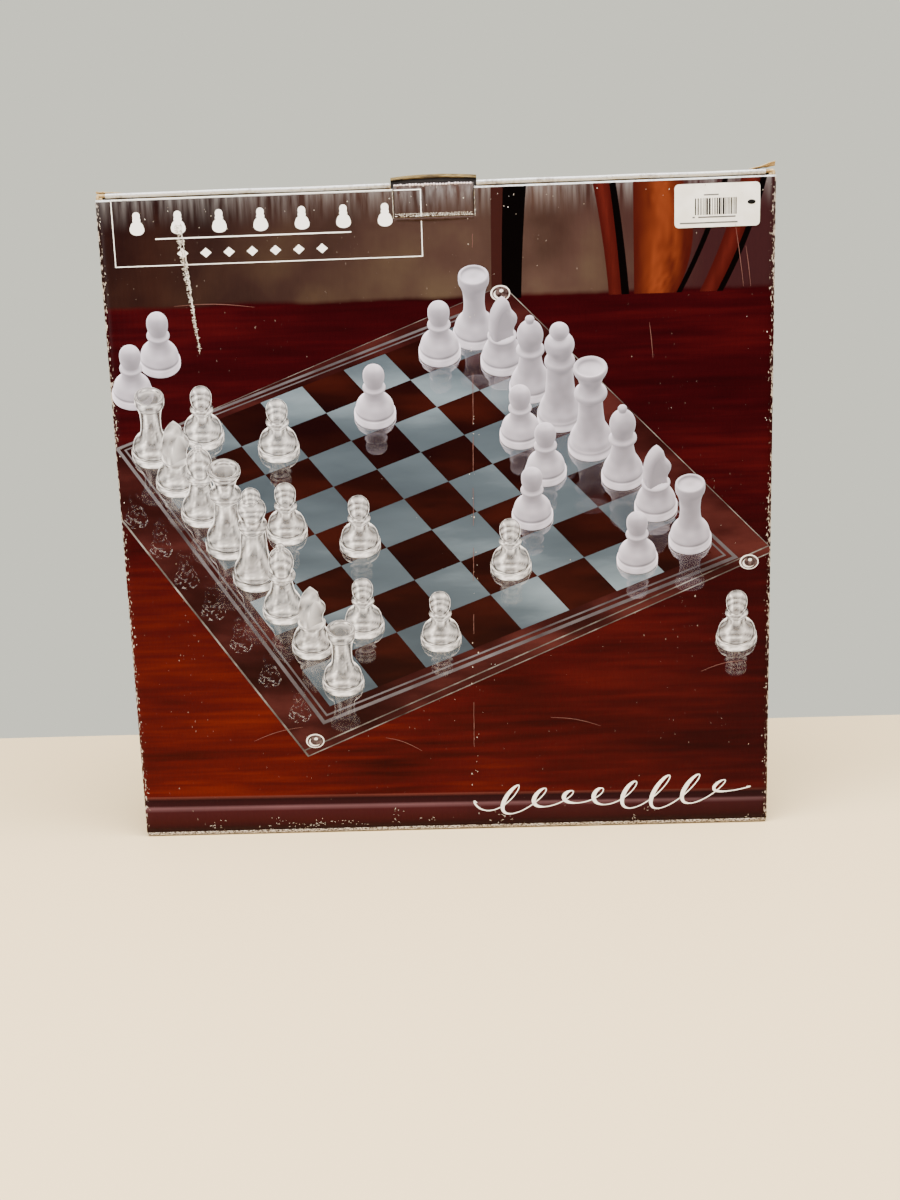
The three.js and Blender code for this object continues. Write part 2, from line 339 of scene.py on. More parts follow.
def cut_window(bm, x_half, keep, **planes):
    """Slices a skin along a window's sides and drops the faces that keep() refuses."""
    cuts = [((x_half, 0, 0), (1, 0, 0)), ((-x_half, 0, 0), (1, 0, 0))]
    cuts += [((0, value, 0) if axis == "y" else (0, 0, value),
              (0, 1, 0) if axis == "y" else (0, 0, 1)) for axis, value in planes.items()]
    for point, normal in cuts:
        slice_at(bm, point, normal)
    gone = [face for face in bm.faces if not keep(face.calc_center_median())]
    bmesh.ops.delete(bm, geom=gone, context="FACES")


wrap = bmesh.new()
bmesh.ops.create_cube(wrap, size=1)
middle = ((low[0] + high[0]) / 2, (wall_front + high[1]) / 2, (low[2] + high[2]) / 2)
set_out(wrap, wrap.verts, middle, (high[0] - low[0], high[1] - wall_front, high[2] - low[2]))
bmesh.ops.delete(wrap, context="FACES", geom=[f for f in wrap.faces if f.normal.y < -0.5])
folds = [edge for edge in wrap.edges if not edge.is_boundary]
bmesh.ops.bevel(wrap, geom=folds, offset=1.9 * MM, segments=3, profile=0.5,
                affect="EDGES", material=-1)
cut_window(wrap, NOTCH_HALF, lambda c: abs(c.x) > NOTCH_HALF or c.y > NOTCH_BACK or c.z < 0.37,
           y=NOTCH_BACK)
carton_wrap = finish_piece("carton_wrap", wrap, [litho, kraft], sharp=40)
fold_board(carton_wrap)
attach(carton_wrap, "carton")
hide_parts("back_panel", "left_wall_outer", "right_wall_outer",
            "hinge_wall", "top_wall_outer")

# Rolled top wall. The sheet turns over at the front of the top wall and runs back
# inside. Handling has polished the roll and rubbed its print pale; its silver grey is also a painted
# highlight on the fold.
rub_and_sheen_print, rub_and_sheen_tree, rub_and_sheen_shader = start_material(
    "rubbed_fold_painted_sheen", roughness=0.28, coat_weight=0.5, coat_roughness=0.15)
rub_and_sheen_place = add_node(rub_and_sheen_tree, "ShaderNodeTexCoord").outputs["Object"]
rub_and_sheen_coarse = streaks(60, 4, 1, rub_and_sheen_tree, rub_and_sheen_place)
rub_and_sheen_fine = streaks(520, 3, 1, rub_and_sheen_tree, rub_and_sheen_place)
rub_and_sheen_mix = weigh(rub_and_sheen_coarse, 0.55, rub_and_sheen_fine, 0.45, rub_and_sheen_tree)
rub_and_sheen_tree.links.new(ramp(rub_and_sheen_mix, [(0.3, "4a3a38"), (0.38, "9a9694"), (0.5, "c6c7c8"),
                                  (0.7, "b4b2ae")], rub_and_sheen_tree), rub_and_sheen_shader.inputs["Base Color"])
rub_and_sheen_tree.links.new(add_node(rub_and_sheen_tree, "ShaderNodeBump", {"Strength": 0.3, "Distance": 0.0005},
                            {"Height": rub_and_sheen_mix}).outputs[0], rub_and_sheen_shader.inputs["Normal"])


def run_profile(bm, outline, start, end, steps=1):
    """Extrudes a closed (y, z) outline in millimetres along X, from start to end."""
    ring = [bm.verts.new((start, y * MM, z * MM)) for y, z in outline]
    cap = bm.faces.new(ring)
    new = [cap]
    for _ in range(steps):
        made = bmesh.ops.extrude_face_region(bm, geom=new)["geom"]
        moved = [item for item in made if isinstance(item, bmesh.types.BMVert)]
        bmesh.ops.translate(bm, verts=moved, vec=((end - start) / steps, 0, 0))
        new = [item for item in made if isinstance(item, bmesh.types.BMFace)]
    return moved


roll_low, roll_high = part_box("top_wall_inner")
ROLL_RADIUS = 1.3
roll_y = roll_low[1] / MM + ROLL_RADIUS
roll_z = CARTON_TOP / MM - ROLL_RADIUS
nose = [(roll_y - ROLL_RADIUS * math.cos(a), roll_z + ROLL_RADIUS * math.sin(a))
        for a in (math.radians(d) for d in range(-90, 91, 15))]
inner_top = roll_z - ROLL_RADIUS + 0.95
outline = [(roll_y + 1.5, inner_top), (roll_high[1] / MM, inner_top),
           (roll_high[1] / MM, roll_z - ROLL_RADIUS)] + nose + [(roll_y + 1.5, roll_z + 1.25)]
behind = [(NOTCH_BACK / MM + 0.3, roll_z - ROLL_RADIUS), (roll_high[1] / MM, roll_z - ROLL_RADIUS),
          (roll_high[1] / MM, inner_top), (NOTCH_BACK / MM + 0.3, inner_top)]
roll = bmesh.new()
run_profile(roll, outline, roll_low[0], -NOTCH_HALF, 12)
run_profile(roll, outline, NOTCH_HALF, roll_high[0], 12)
run_profile(roll, behind, -NOTCH_HALF, NOTCH_HALF)
bmesh.ops.recalc_face_normals(roll, faces=roll.faces)
for vert in roll.verts:
    if vert.co.y < -0.027:
        vert.co.z += 0.35 * MM * noise.noise(vert.co * 25)
# The roll's front faces take the rubbed material with its painted silver highlight.
for face in roll.faces:
    face.material_index = 0 if face.calc_center_median().y < -0.0272 else 1
top_roll = finish_piece("top_wall_roll", roll, [rub_and_sheen_print, kraft], sharp=40)
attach(top_roll, "carton")
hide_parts("top_wall_inner")

# Raw notch edge. The liner along the back of the finger notch has lifted in a low
# bow: its cut kraft stands above the roll, over a gap in shade that is painted near black on the
# lip's lower face.
lip = bmesh.new()
run_profile(lip, [(-22.4, 377.6), (-20.9, 377.6), (-20.9, 384.2), (-21.6, 385.9),
                  (-23.0, 386.0), (-23.2, 384.4), (-22.4, 384.0)], -NOTCH_HALF, NOTCH_HALF, 14)
bmesh.ops.recalc_face_normals(lip, faces=lip.faces)
for vert in lip.verts:
    bow = 1 - (vert.co.x / NOTCH_HALF) ** 2
    if vert.co.z > 0.38:
        vert.co.z += (1.3 * bow - 1.0 + 0.25 * noise.noise(vert.co * 160)) * MM
# Upper faces show the cut kraft; the lower faces are painted near black as the shaded gap.
for face in lip.faces:
    face.material_index = 0 if face.calc_center_median().z > 0.3838 else 1
cut_kraft, cut_tree, cut_shader = start_material("cut_kraft_edge", roughness=0.92)
cut_fibre = streaks(KRAFT_FIBRE, 3, 6, cut_tree,
                    add_node(cut_tree, "ShaderNodeTexCoord").outputs["Object"])
cut_tree.links.new(ramp(cut_fibre, [(0.35, "3f3118"), (0.5, "6b5833"), (0.68, "8b774a")], cut_tree),
                   cut_shader.inputs["Base Color"])
painted_gap_shade = start_material("painted_gap_shade_board", base_color=hex_colour("140c08"), roughness=0.9)[0]
notch_edge = finish_piece("notch_raw_edge", lip, [cut_kraft, painted_gap_shade], sharp=50)
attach(notch_edge, "carton")

# Inner walls, glued corner flaps, tuck flap and ears: plain board, raw kraft.
CARTON_INSIDES = ["left_wall_inner", "right_wall_inner", "tuck_flap", "ear_left", "ear_right",
                  "left_corner_flap_top", "left_corner_flap_bottom",
                  "right_corner_flap_top", "right_corner_flap_bottom"]


def dress(node_name, material):
    """Gives a carried-over node its material."""
    slots = bpy.data.objects[node_name].data.materials
    slots.clear()
    slots.append(material)


for node_name in CARTON_INSIDES:
    dress(node_name, kraft)

# Foam tray: expanded polystyrene, steam moulded from beads about 4 mm across. The
# skin shows as flat cells with faint seams and a soft, slightly waxy white.
BEAD = 4 * MM
beads, bead_tree, bead_shader = start_material(
    "moulded_polystyrene_beads", roughness=0.72, subsurface_weight=0.12)
bead_shader.inputs["Subsurface Radius"].default_value = (0.003, 0.003, 0.003)
bead_place = add_node(bead_tree, "ShaderNodeTexCoord").outputs["Object"]
cells = add_node(bead_tree, "ShaderNodeTexVoronoi",
                 {"Scale": 1 / BEAD, "feature": "DISTANCE_TO_EDGE"}, {"Vector": bead_place})
seam = maths("MULTIPLY", cells.outputs["Distance"], 9.0, bead_tree, clamp=True)
bead_tree.links.new(ramp(seam, [(0.0, "cfd0cc"), (0.4, "eeeeea"), (1.0, "f6f6f2")], bead_tree),
                    bead_shader.inputs["Base Color"])
bead_tree.links.new(add_node(bead_tree, "ShaderNodeBump", {"Strength": 0.5, "Distance": 0.0004},
                             {"Height": seam}).outputs[0], bead_shader.inputs["Normal"])
dress("foam_tray", beads)

# Glass board: 4 mm float glass. The clear squares and margin are bare glass; the
# other squares and a double border line are acid-etched on its upper face.
SQUARE = 40 * MM
glass_low, glass_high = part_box("glass_board")
float_glass = start_material("float_glass", base_color=hex_colour("e3f0ec"), roughness=0.02,
                             ior=1.52, transmission_weight=1.0)[0]
etched, etched_tree, etched_shader = start_material(
    "acid_etched_glass", base_color=hex_colour("e9efee"), roughness=0.55, ior=1.45,
    transmission_weight=0.55)
etch_place = add_node(etched_tree, "ShaderNodeTexCoord").outputs["Object"]
etch_grain = streaks(1400, 2, 1, etched_tree, etch_place)
etched_tree.links.new(ramp(etch_grain, [(0.3, "d5dddd"), (0.7, "f2f6f5")], etched_tree),
                      etched_shader.inputs["Base Color"])
pane = bmesh.new()
bmesh.ops.create_cube(pane, size=1)
pane_middle = [(a + b) / 2 for a, b in zip(glass_low, glass_high)]
set_out(pane, pane.verts, pane_middle, [b - a for a, b in zip(glass_low, glass_high)])
bmesh.ops.bevel(pane, geom=pane.edges[:], offset=0.7 * MM, segments=2, profile=0.5,
                affect="EDGES", material=-1)
board_piece = finish_piece("board_pane", pane, [float_glass], smooth=False)
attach(board_piece, "board")
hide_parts("glass_board")

etch = bmesh.new()
ETCH_FACE = glass_low[1] - 0.03 * MM
ETCH_DEEP = 0.05 * MM


def etch_tile(x_start, x_end, z_start, z_end):
    """A thin frosted rectangle on the board, sized from its middle."""
    made = bmesh.ops.create_cube(etch, size=1)["verts"]
    set_out(etch, made, ((x_start + x_end) / 2, ETCH_FACE, pane_middle[2] + (z_start + z_end) / 2),
            (x_end - x_start, ETCH_DEEP, z_end - z_start))


for column in range(8):
    for row in range(8):
        if (column + row) % 2 == 0:
            x_start, z_start = (column - 4) * SQUARE, (row - 4) * SQUARE
            etch_tile(x_start, x_start + SQUARE, z_start, z_start + SQUARE)
for reach, width in ((4.12 * SQUARE, 1.2 * MM), (4.22 * SQUARE, 2.2 * MM)):
    for sign in (-1, 1):
        inner, outer = sorted((sign * reach, sign * (reach + width)))
        etch_tile(inner, outer, -reach - width, reach + width)
        etch_tile(-reach, reach, inner, outer)
etched_squares = finish_piece("board_etching", etch, [etched], smooth=False)
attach(etched_squares, "board")

# Bumper feet: clear, soft polyurethane domes stuck to the board's corners.
bumper_resin = start_material("clear_polyurethane", base_color=hex_colour("eef2f1"),
                              roughness=0.12, ior=1.49, transmission_weight=0.9)[0]
for foot_name in [f"bumper_{s}_{e}" for s in ("left", "right") for e in ("top", "bottom")]:
    foot_low, foot_high = (Vector(corner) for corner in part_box(foot_name))
    foot_size = foot_high - foot_low
    dome = bmesh.new()
    bmesh.ops.create_uvsphere(dome, u_segments=28, v_segments=18, radius=1)
    slice_at(dome, (0, 0, 0), (0, 0, -1), clear=True)
    bmesh.ops.holes_fill(dome, edges=[e for e in dome.edges if e.is_boundary])
    set_out(dome, dome.verts,
            ((foot_low.x + foot_high.x) / 2, foot_high.y, (foot_low.z + foot_high.z) / 2),
            (foot_size.z / 2, foot_size.z / 2, foot_size.y), UPRIGHT)
    bumper = finish_piece(foot_name + "_dome", dome, [bumper_resin], sharp=50)
    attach(bumper, "board")
    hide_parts(foot_name)

# Chess pieces: pressed glass, sixteen clear and sixteen etched. Each is a turned
# shape from its base to its crown; only the knight's layered head is not round.
MAN_OUTLINES = {
    "pawn": [(13.2, 0), (13.5, 0.8), (13.5, 4.4), (12.7, 5.4), (12.4, 6.2), (12.4, 8.2),
             (11.2, 12), (8.4, 15.2), (6.7, 18), (6.2, 21), (6.6, 22.4), (7.4, 23.4),
             (7.4, 24.6), (6.2, 25.6), (5.6, 27), (6.5, 29.4), (7, 33), (6.6, 36.8),
             (4.4, 39.9), (0, 41)],
    "rook": [(13.7, 0), (14, 0.8), (14, 4.6), (13.1, 5.6), (12.8, 6.4), (12.8, 9), (11.4, 13),
             (8.6, 16.8), (7.2, 21), (6.7, 27), (6.9, 33), (7.4, 37.5), (8.6, 41.6),
             (9.7, 44.4), (9.8, 48.8), (9.2, 50), (8, 49.8), (7, 47.6), (0, 47)],
    "knight": [(13.7, 0), (14, 0.8), (14, 4.6), (13.1, 5.6), (12.8, 6.4), (12.8, 9), (11.4, 13),
               (9.4, 17), (8.8, 20.5), (8.8, 23), (0, 23.4)],
    "bishop": [(13.7, 0), (14, 0.8), (14, 4.6), (13.1, 5.6), (12.8, 6.4), (12.7, 9.4),
               (10.8, 14), (8.6, 18.5), (7.5, 24), (7, 29), (7.6, 31), (9, 32.4), (9, 34),
               (7.4, 35.6), (7, 37.6), (8.2, 42), (8.4, 46.6), (6.8, 51.4), (3.8, 54.6),
               (2.5, 55.8), (3, 57.4), (2.4, 59.2), (0, 60)],
    "queen": [(14.7, 0), (15, 0.8), (15, 5.4), (14, 6.6), (13.6, 7.4), (13.5, 10.6), (11.6, 15),
              (9.4, 20), (8.4, 27), (7.8, 36), (8, 41), (9.6, 42.6), (10.6, 44.4),
              (10.4, 46.6), (8.6, 48.6), (7.4, 51), (7.2, 54), (8.4, 58.6), (10.6, 63),
              (11, 65.4), (10.4, 67), (8.6, 66.2), (7, 64), (0, 63.4)],
    "king": [(14.7, 0), (15, 0.8), (15, 5.4), (14, 6.6), (13.6, 7.4), (13.5, 10.6), (11.8, 15),
             (10, 20), (9.2, 28), (8.6, 38), (8.4, 43), (9.2, 45), (9.8, 46.4), (9.6, 48.4),
             (8.2, 50.4), (7.6, 53), (9, 57.5), (9.6, 61), (8.4, 64.6), (5, 66.6),
             (4.6, 68), (6.2, 70.4), (5.6, 74), (3, 76.4), (0, 77)],
}
HORSE_HEAD = [(-7.5, 20), (7.5, 20), (6.8, 25), (7.6, 29), (9.8, 32.6), (10.2, 35.4),
              (8.8, 38.4), (6.4, 41.8), (5.2, 45.4), (4.2, 49.6), (2, 52), (-0.6, 51),
              (-3.6, 48.2), (-6.2, 44), (-7.8, 38), (-8.4, 30)]
HORSE_LAYERS = [(-5.5, 0.68), (-4.6, 0.86), (-2.6, 0.98), (2.6, 0.98), (4.6, 0.86), (5.5, 0.68)]


def turned_man(kind, sides=32, fine=3):
    """A standing piece in millimetres, spun from its outline, its base on z = 0."""
    points = [Vector((r, 0, z)) for r, z in MAN_OUTLINES[kind]]
    path = [Vector((0, 0, 0)), points[0]]
    for i in range(len(points) - 1):
        before, after = points[max(i - 1, 0)], points[min(i + 2, len(points) - 1)]
        pull, push = (points[i + 1] - before) / 6, (after - points[i]) / 6
        for step in range(1, fine + 1):
            t = step / fine
            near, far = points[i] + pull, points[i + 1] - push
            spot = ((1 - t) ** 3 * points[i] + 3 * t * (1 - t) ** 2 * near
                    + 3 * t * t * (1 - t) * far + t ** 3 * points[i + 1])
            path.append(Vector((max(spot.x, 0), 0, spot.z)))
    path[-1].x = 0
    bm = bmesh.new()
    verts = [bm.verts.new(spot) for spot in path]
    edges = [bm.edges.new(pair) for pair in zip(verts, verts[1:])]
    bmesh.ops.spin(bm, geom=verts + edges, cent=(0, 0, 0), axis=(0, 0, 1),
                   angle=math.tau, steps=sides, use_merge=True)
    bmesh.ops.remove_doubles(bm, verts=bm.verts, dist=0.01)
    if kind == "knight":
        rings = [[bm.verts.new((x * size, y, 34 + (z - 34) * size)) for x, z in HORSE_HEAD]
                 for y, size in HORSE_LAYERS]
        for ring, beyond in zip(rings, rings[1:]):
            for i in range(len(ring)):
                bm.faces.new((ring[i - 1], ring[i], beyond[i], beyond[i - 1]))
        bm.faces.new(rings[0])
        bm.faces.new(rings[-1])
    bmesh.ops.recalc_face_normals(bm, faces=bm.faces)
    return bm


pressed_glass = start_material("pressed_glass", base_color=hex_colour("f4f8f7"),
                               roughness=0.02, ior=1.52, transmission_weight=1.0)[0]
frosted_glass, frosted_tree, frosted_shader = start_material(
    "acid_frosted_glass", roughness=0.5, ior=1.45, transmission_weight=0.35,
    subsurface_weight=0.25)
frosted_shader.inputs["Subsurface Radius"].default_value = (0.004, 0.004, 0.004)
frost_place = add_node(frosted_tree, "ShaderNodeTexCoord").outputs["Object"]
frost_grain = streaks(1600, 2, 1, frosted_tree, frost_place)
frosted_tree.links.new(ramp(frost_grain, [(0.3, "dcd6de"), (0.7, "f3eff4")], frosted_tree),
                       frosted_shader.inputs["Base Color"])
frosted_tree.links.new(add_node(frosted_tree, "ShaderNodeBump",
                                {"Strength": 0.15, "Distance": 0.0001},
                                {"Height": frost_grain}).outputs[0],
                       frosted_shader.inputs["Normal"])

for node_name in [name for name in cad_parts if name.split("_")[0] in ("clear", "frosted")]:
    kind = node_name.split("_")[1]
    man_low, man_high = (Vector(corner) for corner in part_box(node_name))
    man_middle = (man_low + man_high) / 2
    inward = 1 if man_middle.x < 0 else -1
    foot = Vector((man_low.x if inward > 0 else man_high.x, man_middle.y, man_middle.z))
    man = turned_man(kind)
    lying = Matrix.Rotation(math.radians(90 * inward), 4, "Y")
    if kind == "knight":
        lying = UPRIGHT @ lying
    bmesh.ops.transform(man, verts=man.verts,
                        matrix=Matrix.Translation(foot) @ lying @ Matrix.Scale(MM, 4))
    glass_type = pressed_glass if node_name.startswith("clear") else frosted_glass
    glass_man = finish_piece(node_name + "_glass", man, [glass_type], sharp=50)
    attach(glass_man, node_name)
    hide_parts(node_name)

# Lid panel: the printed front of the wrap, hinged along the foot. Its face bellies
# out a little between the edges, and it rolls over at the top into the tuck flap.
LID_LOW, LID_HIGH = (Vector(corner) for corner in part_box("lid_panel"))
TAB_LOW, TAB_HIGH = (Vector(corner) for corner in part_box("lock_tab"))
LID_FACE = LID_LOW.y
SLOT_HALF = TAB_HIGH.x + 0.3 * MM
SLOT_FOOT = TAB_LOW.z - 0.3 * MM
FOLD_RADIUS = 1.3 * MM
LID_CREST = LID_HIGH.z + FOLD_RADIUS
BELLY = 0.9 * MM
BELLY_FADE = 50 * MM


def belly(x, z):
    """How far the lid's face stands forward of its flat plane at a point."""
    inset = min(CARTON_HALF - abs(x), z - LID_LOW.z, LID_CREST - z)
    fade = max(0.0, min(1.0, inset / BELLY_FADE))
    swell = 0.5 + 0.5 * noise.noise(Vector((x * 7, 3.1, z * 7)))
    return BELLY * swell * fade


def settle(bm):
    """Moves a printed shape with the lid's face."""
    for vert in bm.verts:
        vert.co.y -= belly(vert.co.x, vert.co.z)


def lay_grid(x_start, x_end, z_start, z_end, cells):
    """An upright grid that faces forward."""
    bm = bmesh.new()
    bmesh.ops.create_grid(bm, x_segments=cells, y_segments=cells, size=0.5)
    set_out(bm, bm.verts, ((x_start + x_end) / 2, LID_FACE, (z_start + z_end) / 2),
            (x_end - x_start, z_end - z_start, 1), UPRIGHT)
    return bm


lid = lay_grid(LID_LOW.x, LID_HIGH.x, LID_LOW.z, LID_CREST - FOLD_RADIUS, 90)
top_edge = [edge for edge in lid.edges if edge.is_boundary
            and all(vert.co.z > LID_CREST - FOLD_RADIUS - 1e-6 for vert in edge.verts)]
for turn in range(1, 9):
    made = bmesh.ops.extrude_edge_only(lid, edges=top_edge)["geom"]
    angle = math.radians(15 * turn)
    lean, rise = FOLD_RADIUS * (1 - math.cos(angle)), FOLD_RADIUS * math.sin(angle)
    for item in made:
        if isinstance(item, bmesh.types.BMVert):
            item.co.y = LID_FACE + lean
            item.co.z = LID_CREST - FOLD_RADIUS + rise
    top_edge = [item for item in made if isinstance(item, bmesh.types.BMEdge)]
cut_window(lid, SLOT_HALF, lambda c: abs(c.x) > SLOT_HALF or c.z < SLOT_FOOT, z=SLOT_FOOT)
settle(lid)
# The lid's rounded top fold takes the rubbed material with its painted silver highlight.
for face in lid.faces:
    face.material_index = 2 if face.calc_center_median().z > LID_CREST - FOLD_RADIUS else 0
bmesh.ops.recalc_face_normals(lid, faces=lid.faces)
if sum(face.normal.y * face.calc_area() for face in lid.faces) > 0:
    bmesh.ops.reverse_faces(lid, faces=lid.faces)
lid_face = finish_piece("lid_face", lid, [litho, kraft, rub_and_sheen_print])
fold_board(lid_face, BOARD - 0.2 * MM)
lid_face.modifiers["board"].material_offset = 1
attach(lid_face, "lid")
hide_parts("lid_panel")

# Hinge crease: the scored fold between the hinge wall and the lid, a narrow band
# of cracked print along the foot. Its fine pale and dark specks follow the flutes.
crease = bmesh.new()
run_profile(crease, [(-30.9, 3.4), (-31.0, 2.6), (-30.7, 1.2), (-29.6, 0.35), (-28.6, 0.2),
                     (-28.6, 0.9), (-29.3, 1.1), (-29.9, 2.0), (-30.0, 3.4)],
            -CARTON_HALF + 0.4 * MM, CARTON_HALF - 0.4 * MM, 60)
bmesh.ops.recalc_face_normals(crease, faces=crease.faces)
cracked, cracked_tree, cracked_shader = start_material("cracked_fold", roughness=0.6)
crack_place = add_node(cracked_tree, "ShaderNodeTexCoord").outputs["Object"]
cracked_tree.links.new(ramp(streaks(1300, 3, 1.6, cracked_tree, crack_place),
                            [(0.4, "2a1714"), (0.47, "6d625a"), (0.54, "b5ada4"), (0.7, "d6d0c8")],
                            cracked_tree), cracked_shader.inputs["Base Color"])
hinge_crease = finish_piece("hinge_crease", crease, [cracked])
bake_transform(hinge_crease)

# Lock tab: cut out of the lid on three sides and scored across its foot. Its top
# edge has been pushed back into the notch and shows its flutes as a row of dots.
def lean_tab(bm):
    """Curls a shape on the tab back into the notch with the tab's top edge."""
    for vert in bm.verts:
        climb = (vert.co.z - TAB_LOW.z) / (TAB_HIGH.z - TAB_LOW.z)
        ripple = noise.noise(Vector((vert.co.x * 90, 0, vert.co.z * 90)))
        vert.co.y += (2.4 * climb ** 2 + 0.2 * ripple) * MM


tab = lay_grid(TAB_LOW.x, TAB_HIGH.x, TAB_LOW.z, TAB_HIGH.z - 0.3 * MM, 16)
lean_tab(tab)
lock_tab = finish_piece("lock_tab_board", tab, [litho, kraft])
fold_board(lock_tab, BOARD - 0.2 * MM)
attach(lock_tab, "lock_tab")
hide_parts("lock_tab")

# Printed picture. The lid's print shows this same set laid out on its glass board,
# seen from above one corner. Each printed shape is a film of ink a few hundredths
# of a millimetre thick on the lid's face, and shapes nearer the viewer lie on top.
GRID_CORNERS = [(17, 304), (-179, 236.5), (-73, 80.5), (156, 167)]
GLASS_CORNERS = [(37.5, 323.5), (-213, 229), (-88, 49), (193, 167)]
TRIM = CARTON_HALF - 0.5 * MM
SHEET_LIFT, INK_LIFT, LINE_LIFT, WEAR_LIFT = 0.03, 0.06, 0.07, 0.62
SATIN_SPECULAR = 0.035


def perspective(corners):
    """Maps the unit square to a four-sided figure on the lid, as a camera would."""
    rows, sides = [], []
    for (u, v), (x, z) in zip(((0, 0), (1, 0), (1, 1), (0, 1)), corners):
        rows += [[u, v, 1, 0, 0, 0, -u * x, -v * x], [0, 0, 0, u, v, 1, -u * z, -v * z]]
        sides += [x, z]
    a = np.linalg.solve(np.array(rows), np.array(sides))
    return lambda u, v: Vector(((a[0] * u + a[1] * v + a[2]) * MM, 0,
                                (a[3] * u + a[4] * v + a[5]) * MM)) / (a[6] * u + a[7] * v + 1)


on_grid = perspective(GRID_CORNERS)
on_glass = perspective(GLASS_CORNERS)


def between(span, share):
    """A grid place from -0.5 to 0.5 as a value between the span's two ends."""
    return span[0] + (share + 0.5) * (span[1] - span[0])


def ink_patch(bm, where, u_span, v_span, lift, cells=4):
    """A film over part of a perspective square, divided so that it can follow the belly."""
    made = bmesh.ops.create_grid(bm, x_segments=cells, y_segments=cells, size=0.5)["verts"]
    for vert in made:
        spot = where(between(u_span, vert.co.x), between(v_span, vert.co.y))
        vert.co = (spot.x, LID_FACE - lift * MM, spot.z)


def finish_ink(name, bm, materials, body="lid"):
    """Trims a printed film at the carton's edges, settles it and makes it solid."""
    for sign in (-1, 1):
        slice_at(bm, (sign * TRIM, 0, 0), (sign, 0, 0), clear=True)
    (settle if body == "lid" else lean_tab)(bm)
    for face in bm.faces:
        face.normal_update()
        if face.normal.y > 0:
            face.normal_flip()
    film = finish_piece(name, bm, materials, smooth=False)
    solid = film.modifiers.new("film", "SOLIDIFY")
    solid.thickness = 0.02 * MM
    solid.offset = -1
    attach(film, body)
    return film


def ink(name, stops, scale=None, stretch=1, turn=0.0, detail=3):
    """Varnished printing ink whose colour drifts through the stops."""
    material, tree, shader = start_material(
        name, roughness=0.3, specular_ior_level=SATIN_SPECULAR)
    if scale is None:
        shader.inputs["Base Color"].default_value = hex_colour(stops)
        return material
    where = add_node(tree, "ShaderNodeTexCoord").outputs["Object"]
    turned_place = add_node(tree, "ShaderNodeMapping",
                            {"Rotation": (0, turn, 0), "Scale": (1 / stretch, 1, 1)},
                            {"Vector": where})
    drift = add_node(tree, "ShaderNodeTexNoise", {"Scale": scale, "Detail": detail},
                     {"Vector": turned_place.outputs[0]}).outputs["Fac"]
    tree.links.new(ramp(drift, stops, tree), shader.inputs["Base Color"])
    return material


margin_ink = ink("ink_glass_over_wood", [(0.32, "1b0606"), (0.5, "2c0f0f"), (0.68, "431e1c")],
                 46, 3, 0, 5)
square_ink = ink("ink_clear_square", [(0.32, "120304"), (0.5, "1b0605"), (0.68, "2b0c08")], 50, 4)
frost_ink = ink("ink_frosted_square", [(0.36, "343d46"), (0.5, "46515b"), (0.64, "6f7e8a")],
                17, 4, math.radians(35), 6)
line_ink = ink("ink_border_line", [(0.3, "352f32"), (0.7, "636066")], 30)
glint_ink = ink("ink_glass_edge", [(0.3, "2c2524"), (0.5, "55514f"), (0.7, "8d8b88")], 60)

sheet = bmesh.new()
ink_patch(sheet, on_glass, (0, 1), (0, 1), SHEET_LIFT, 60)
finish_ink("printed_board_margin", sheet, [margin_ink])
for name, remainder, paint in (("printed_clear_squares", 1, square_ink),
                               ("printed_frosted_squares", 0, frost_ink)):
    squares = bmesh.new()
    for i in range(8):
        for j in range(8):
            if (i + j) % 2 == remainder:
                ink_patch(squares, on_grid, (i / 8, (i + 1) / 8), (j / 8, (j + 1) / 8), INK_LIFT)
    finish_ink(name, squares, [paint])
borders = bmesh.new()
for reach, width in ((0.0175, 0.0048), (0.0315, 0.0088)):
    near, far = (-reach - width, -reach), (1 + reach, 1 + reach + width)
    for side in (near, far):
        ink_patch(borders, on_grid, (near[0], far[1]), side, LINE_LIFT, 40)
    for side in (near, far):
        ink_patch(borders, on_grid, side, (near[1], far[0]), LINE_LIFT, 40)
finish_ink("printed_border_lines", borders, [line_ink])
glints = bmesh.new()
for u_span, v_span in (((0, 1), (0.9975, 1)), ((0, 1), (0.980, 0.983)), ((0.9965, 1), (0, 1)),
                       ((0, 1), (0, 0.0016)), ((0, 0.0016), (0, 1))):
    ink_patch(glints, on_glass, u_span, v_span, LINE_LIFT, 50)
finish_ink("printed_glass_edges", glints, [glint_ink])

# Printed pieces. Each is the real piece's shape, tipped to the printed camera's
# height and pressed flat; its tones come from how its surface faced that camera.
PRINT_TILT = math.radians(40)
PRINT_SCALE = 0.89
MAN_LIFT = 0.12
MAN_SPREAD = 0.40
BACK_ROW = 330
FROSTED_TURN, CLEAR_TURN = 0.5, 0.6
REFLECTION_LIFT, REFLECTION_SQUASH, REFLECTION_FADE = 0.09, -0.75, 24
GHOST_ASIDE, GHOST_BELOW, GHOST_SIZE = 21, 27, 0.55
GHOST_LIFT, GHOST_SQUASH, GHOST_FADE = 0.08, 0.9, 22
TONE_CURVE = 3.4


def stored_tone(shade, red, green, blue):
    """A shade between black and white, tinted, as the ink's linear colour."""
    shade = max(0.06, min(1.0, shade))
    return tuple((shade * tint) ** TONE_CURVE for tint in (red, green, blue))


def bump_at(value, middle, width):
    """1 at the middle, falling smoothly to 0 a few widths away."""
    return math.exp(-((value - middle) / width) ** 2)


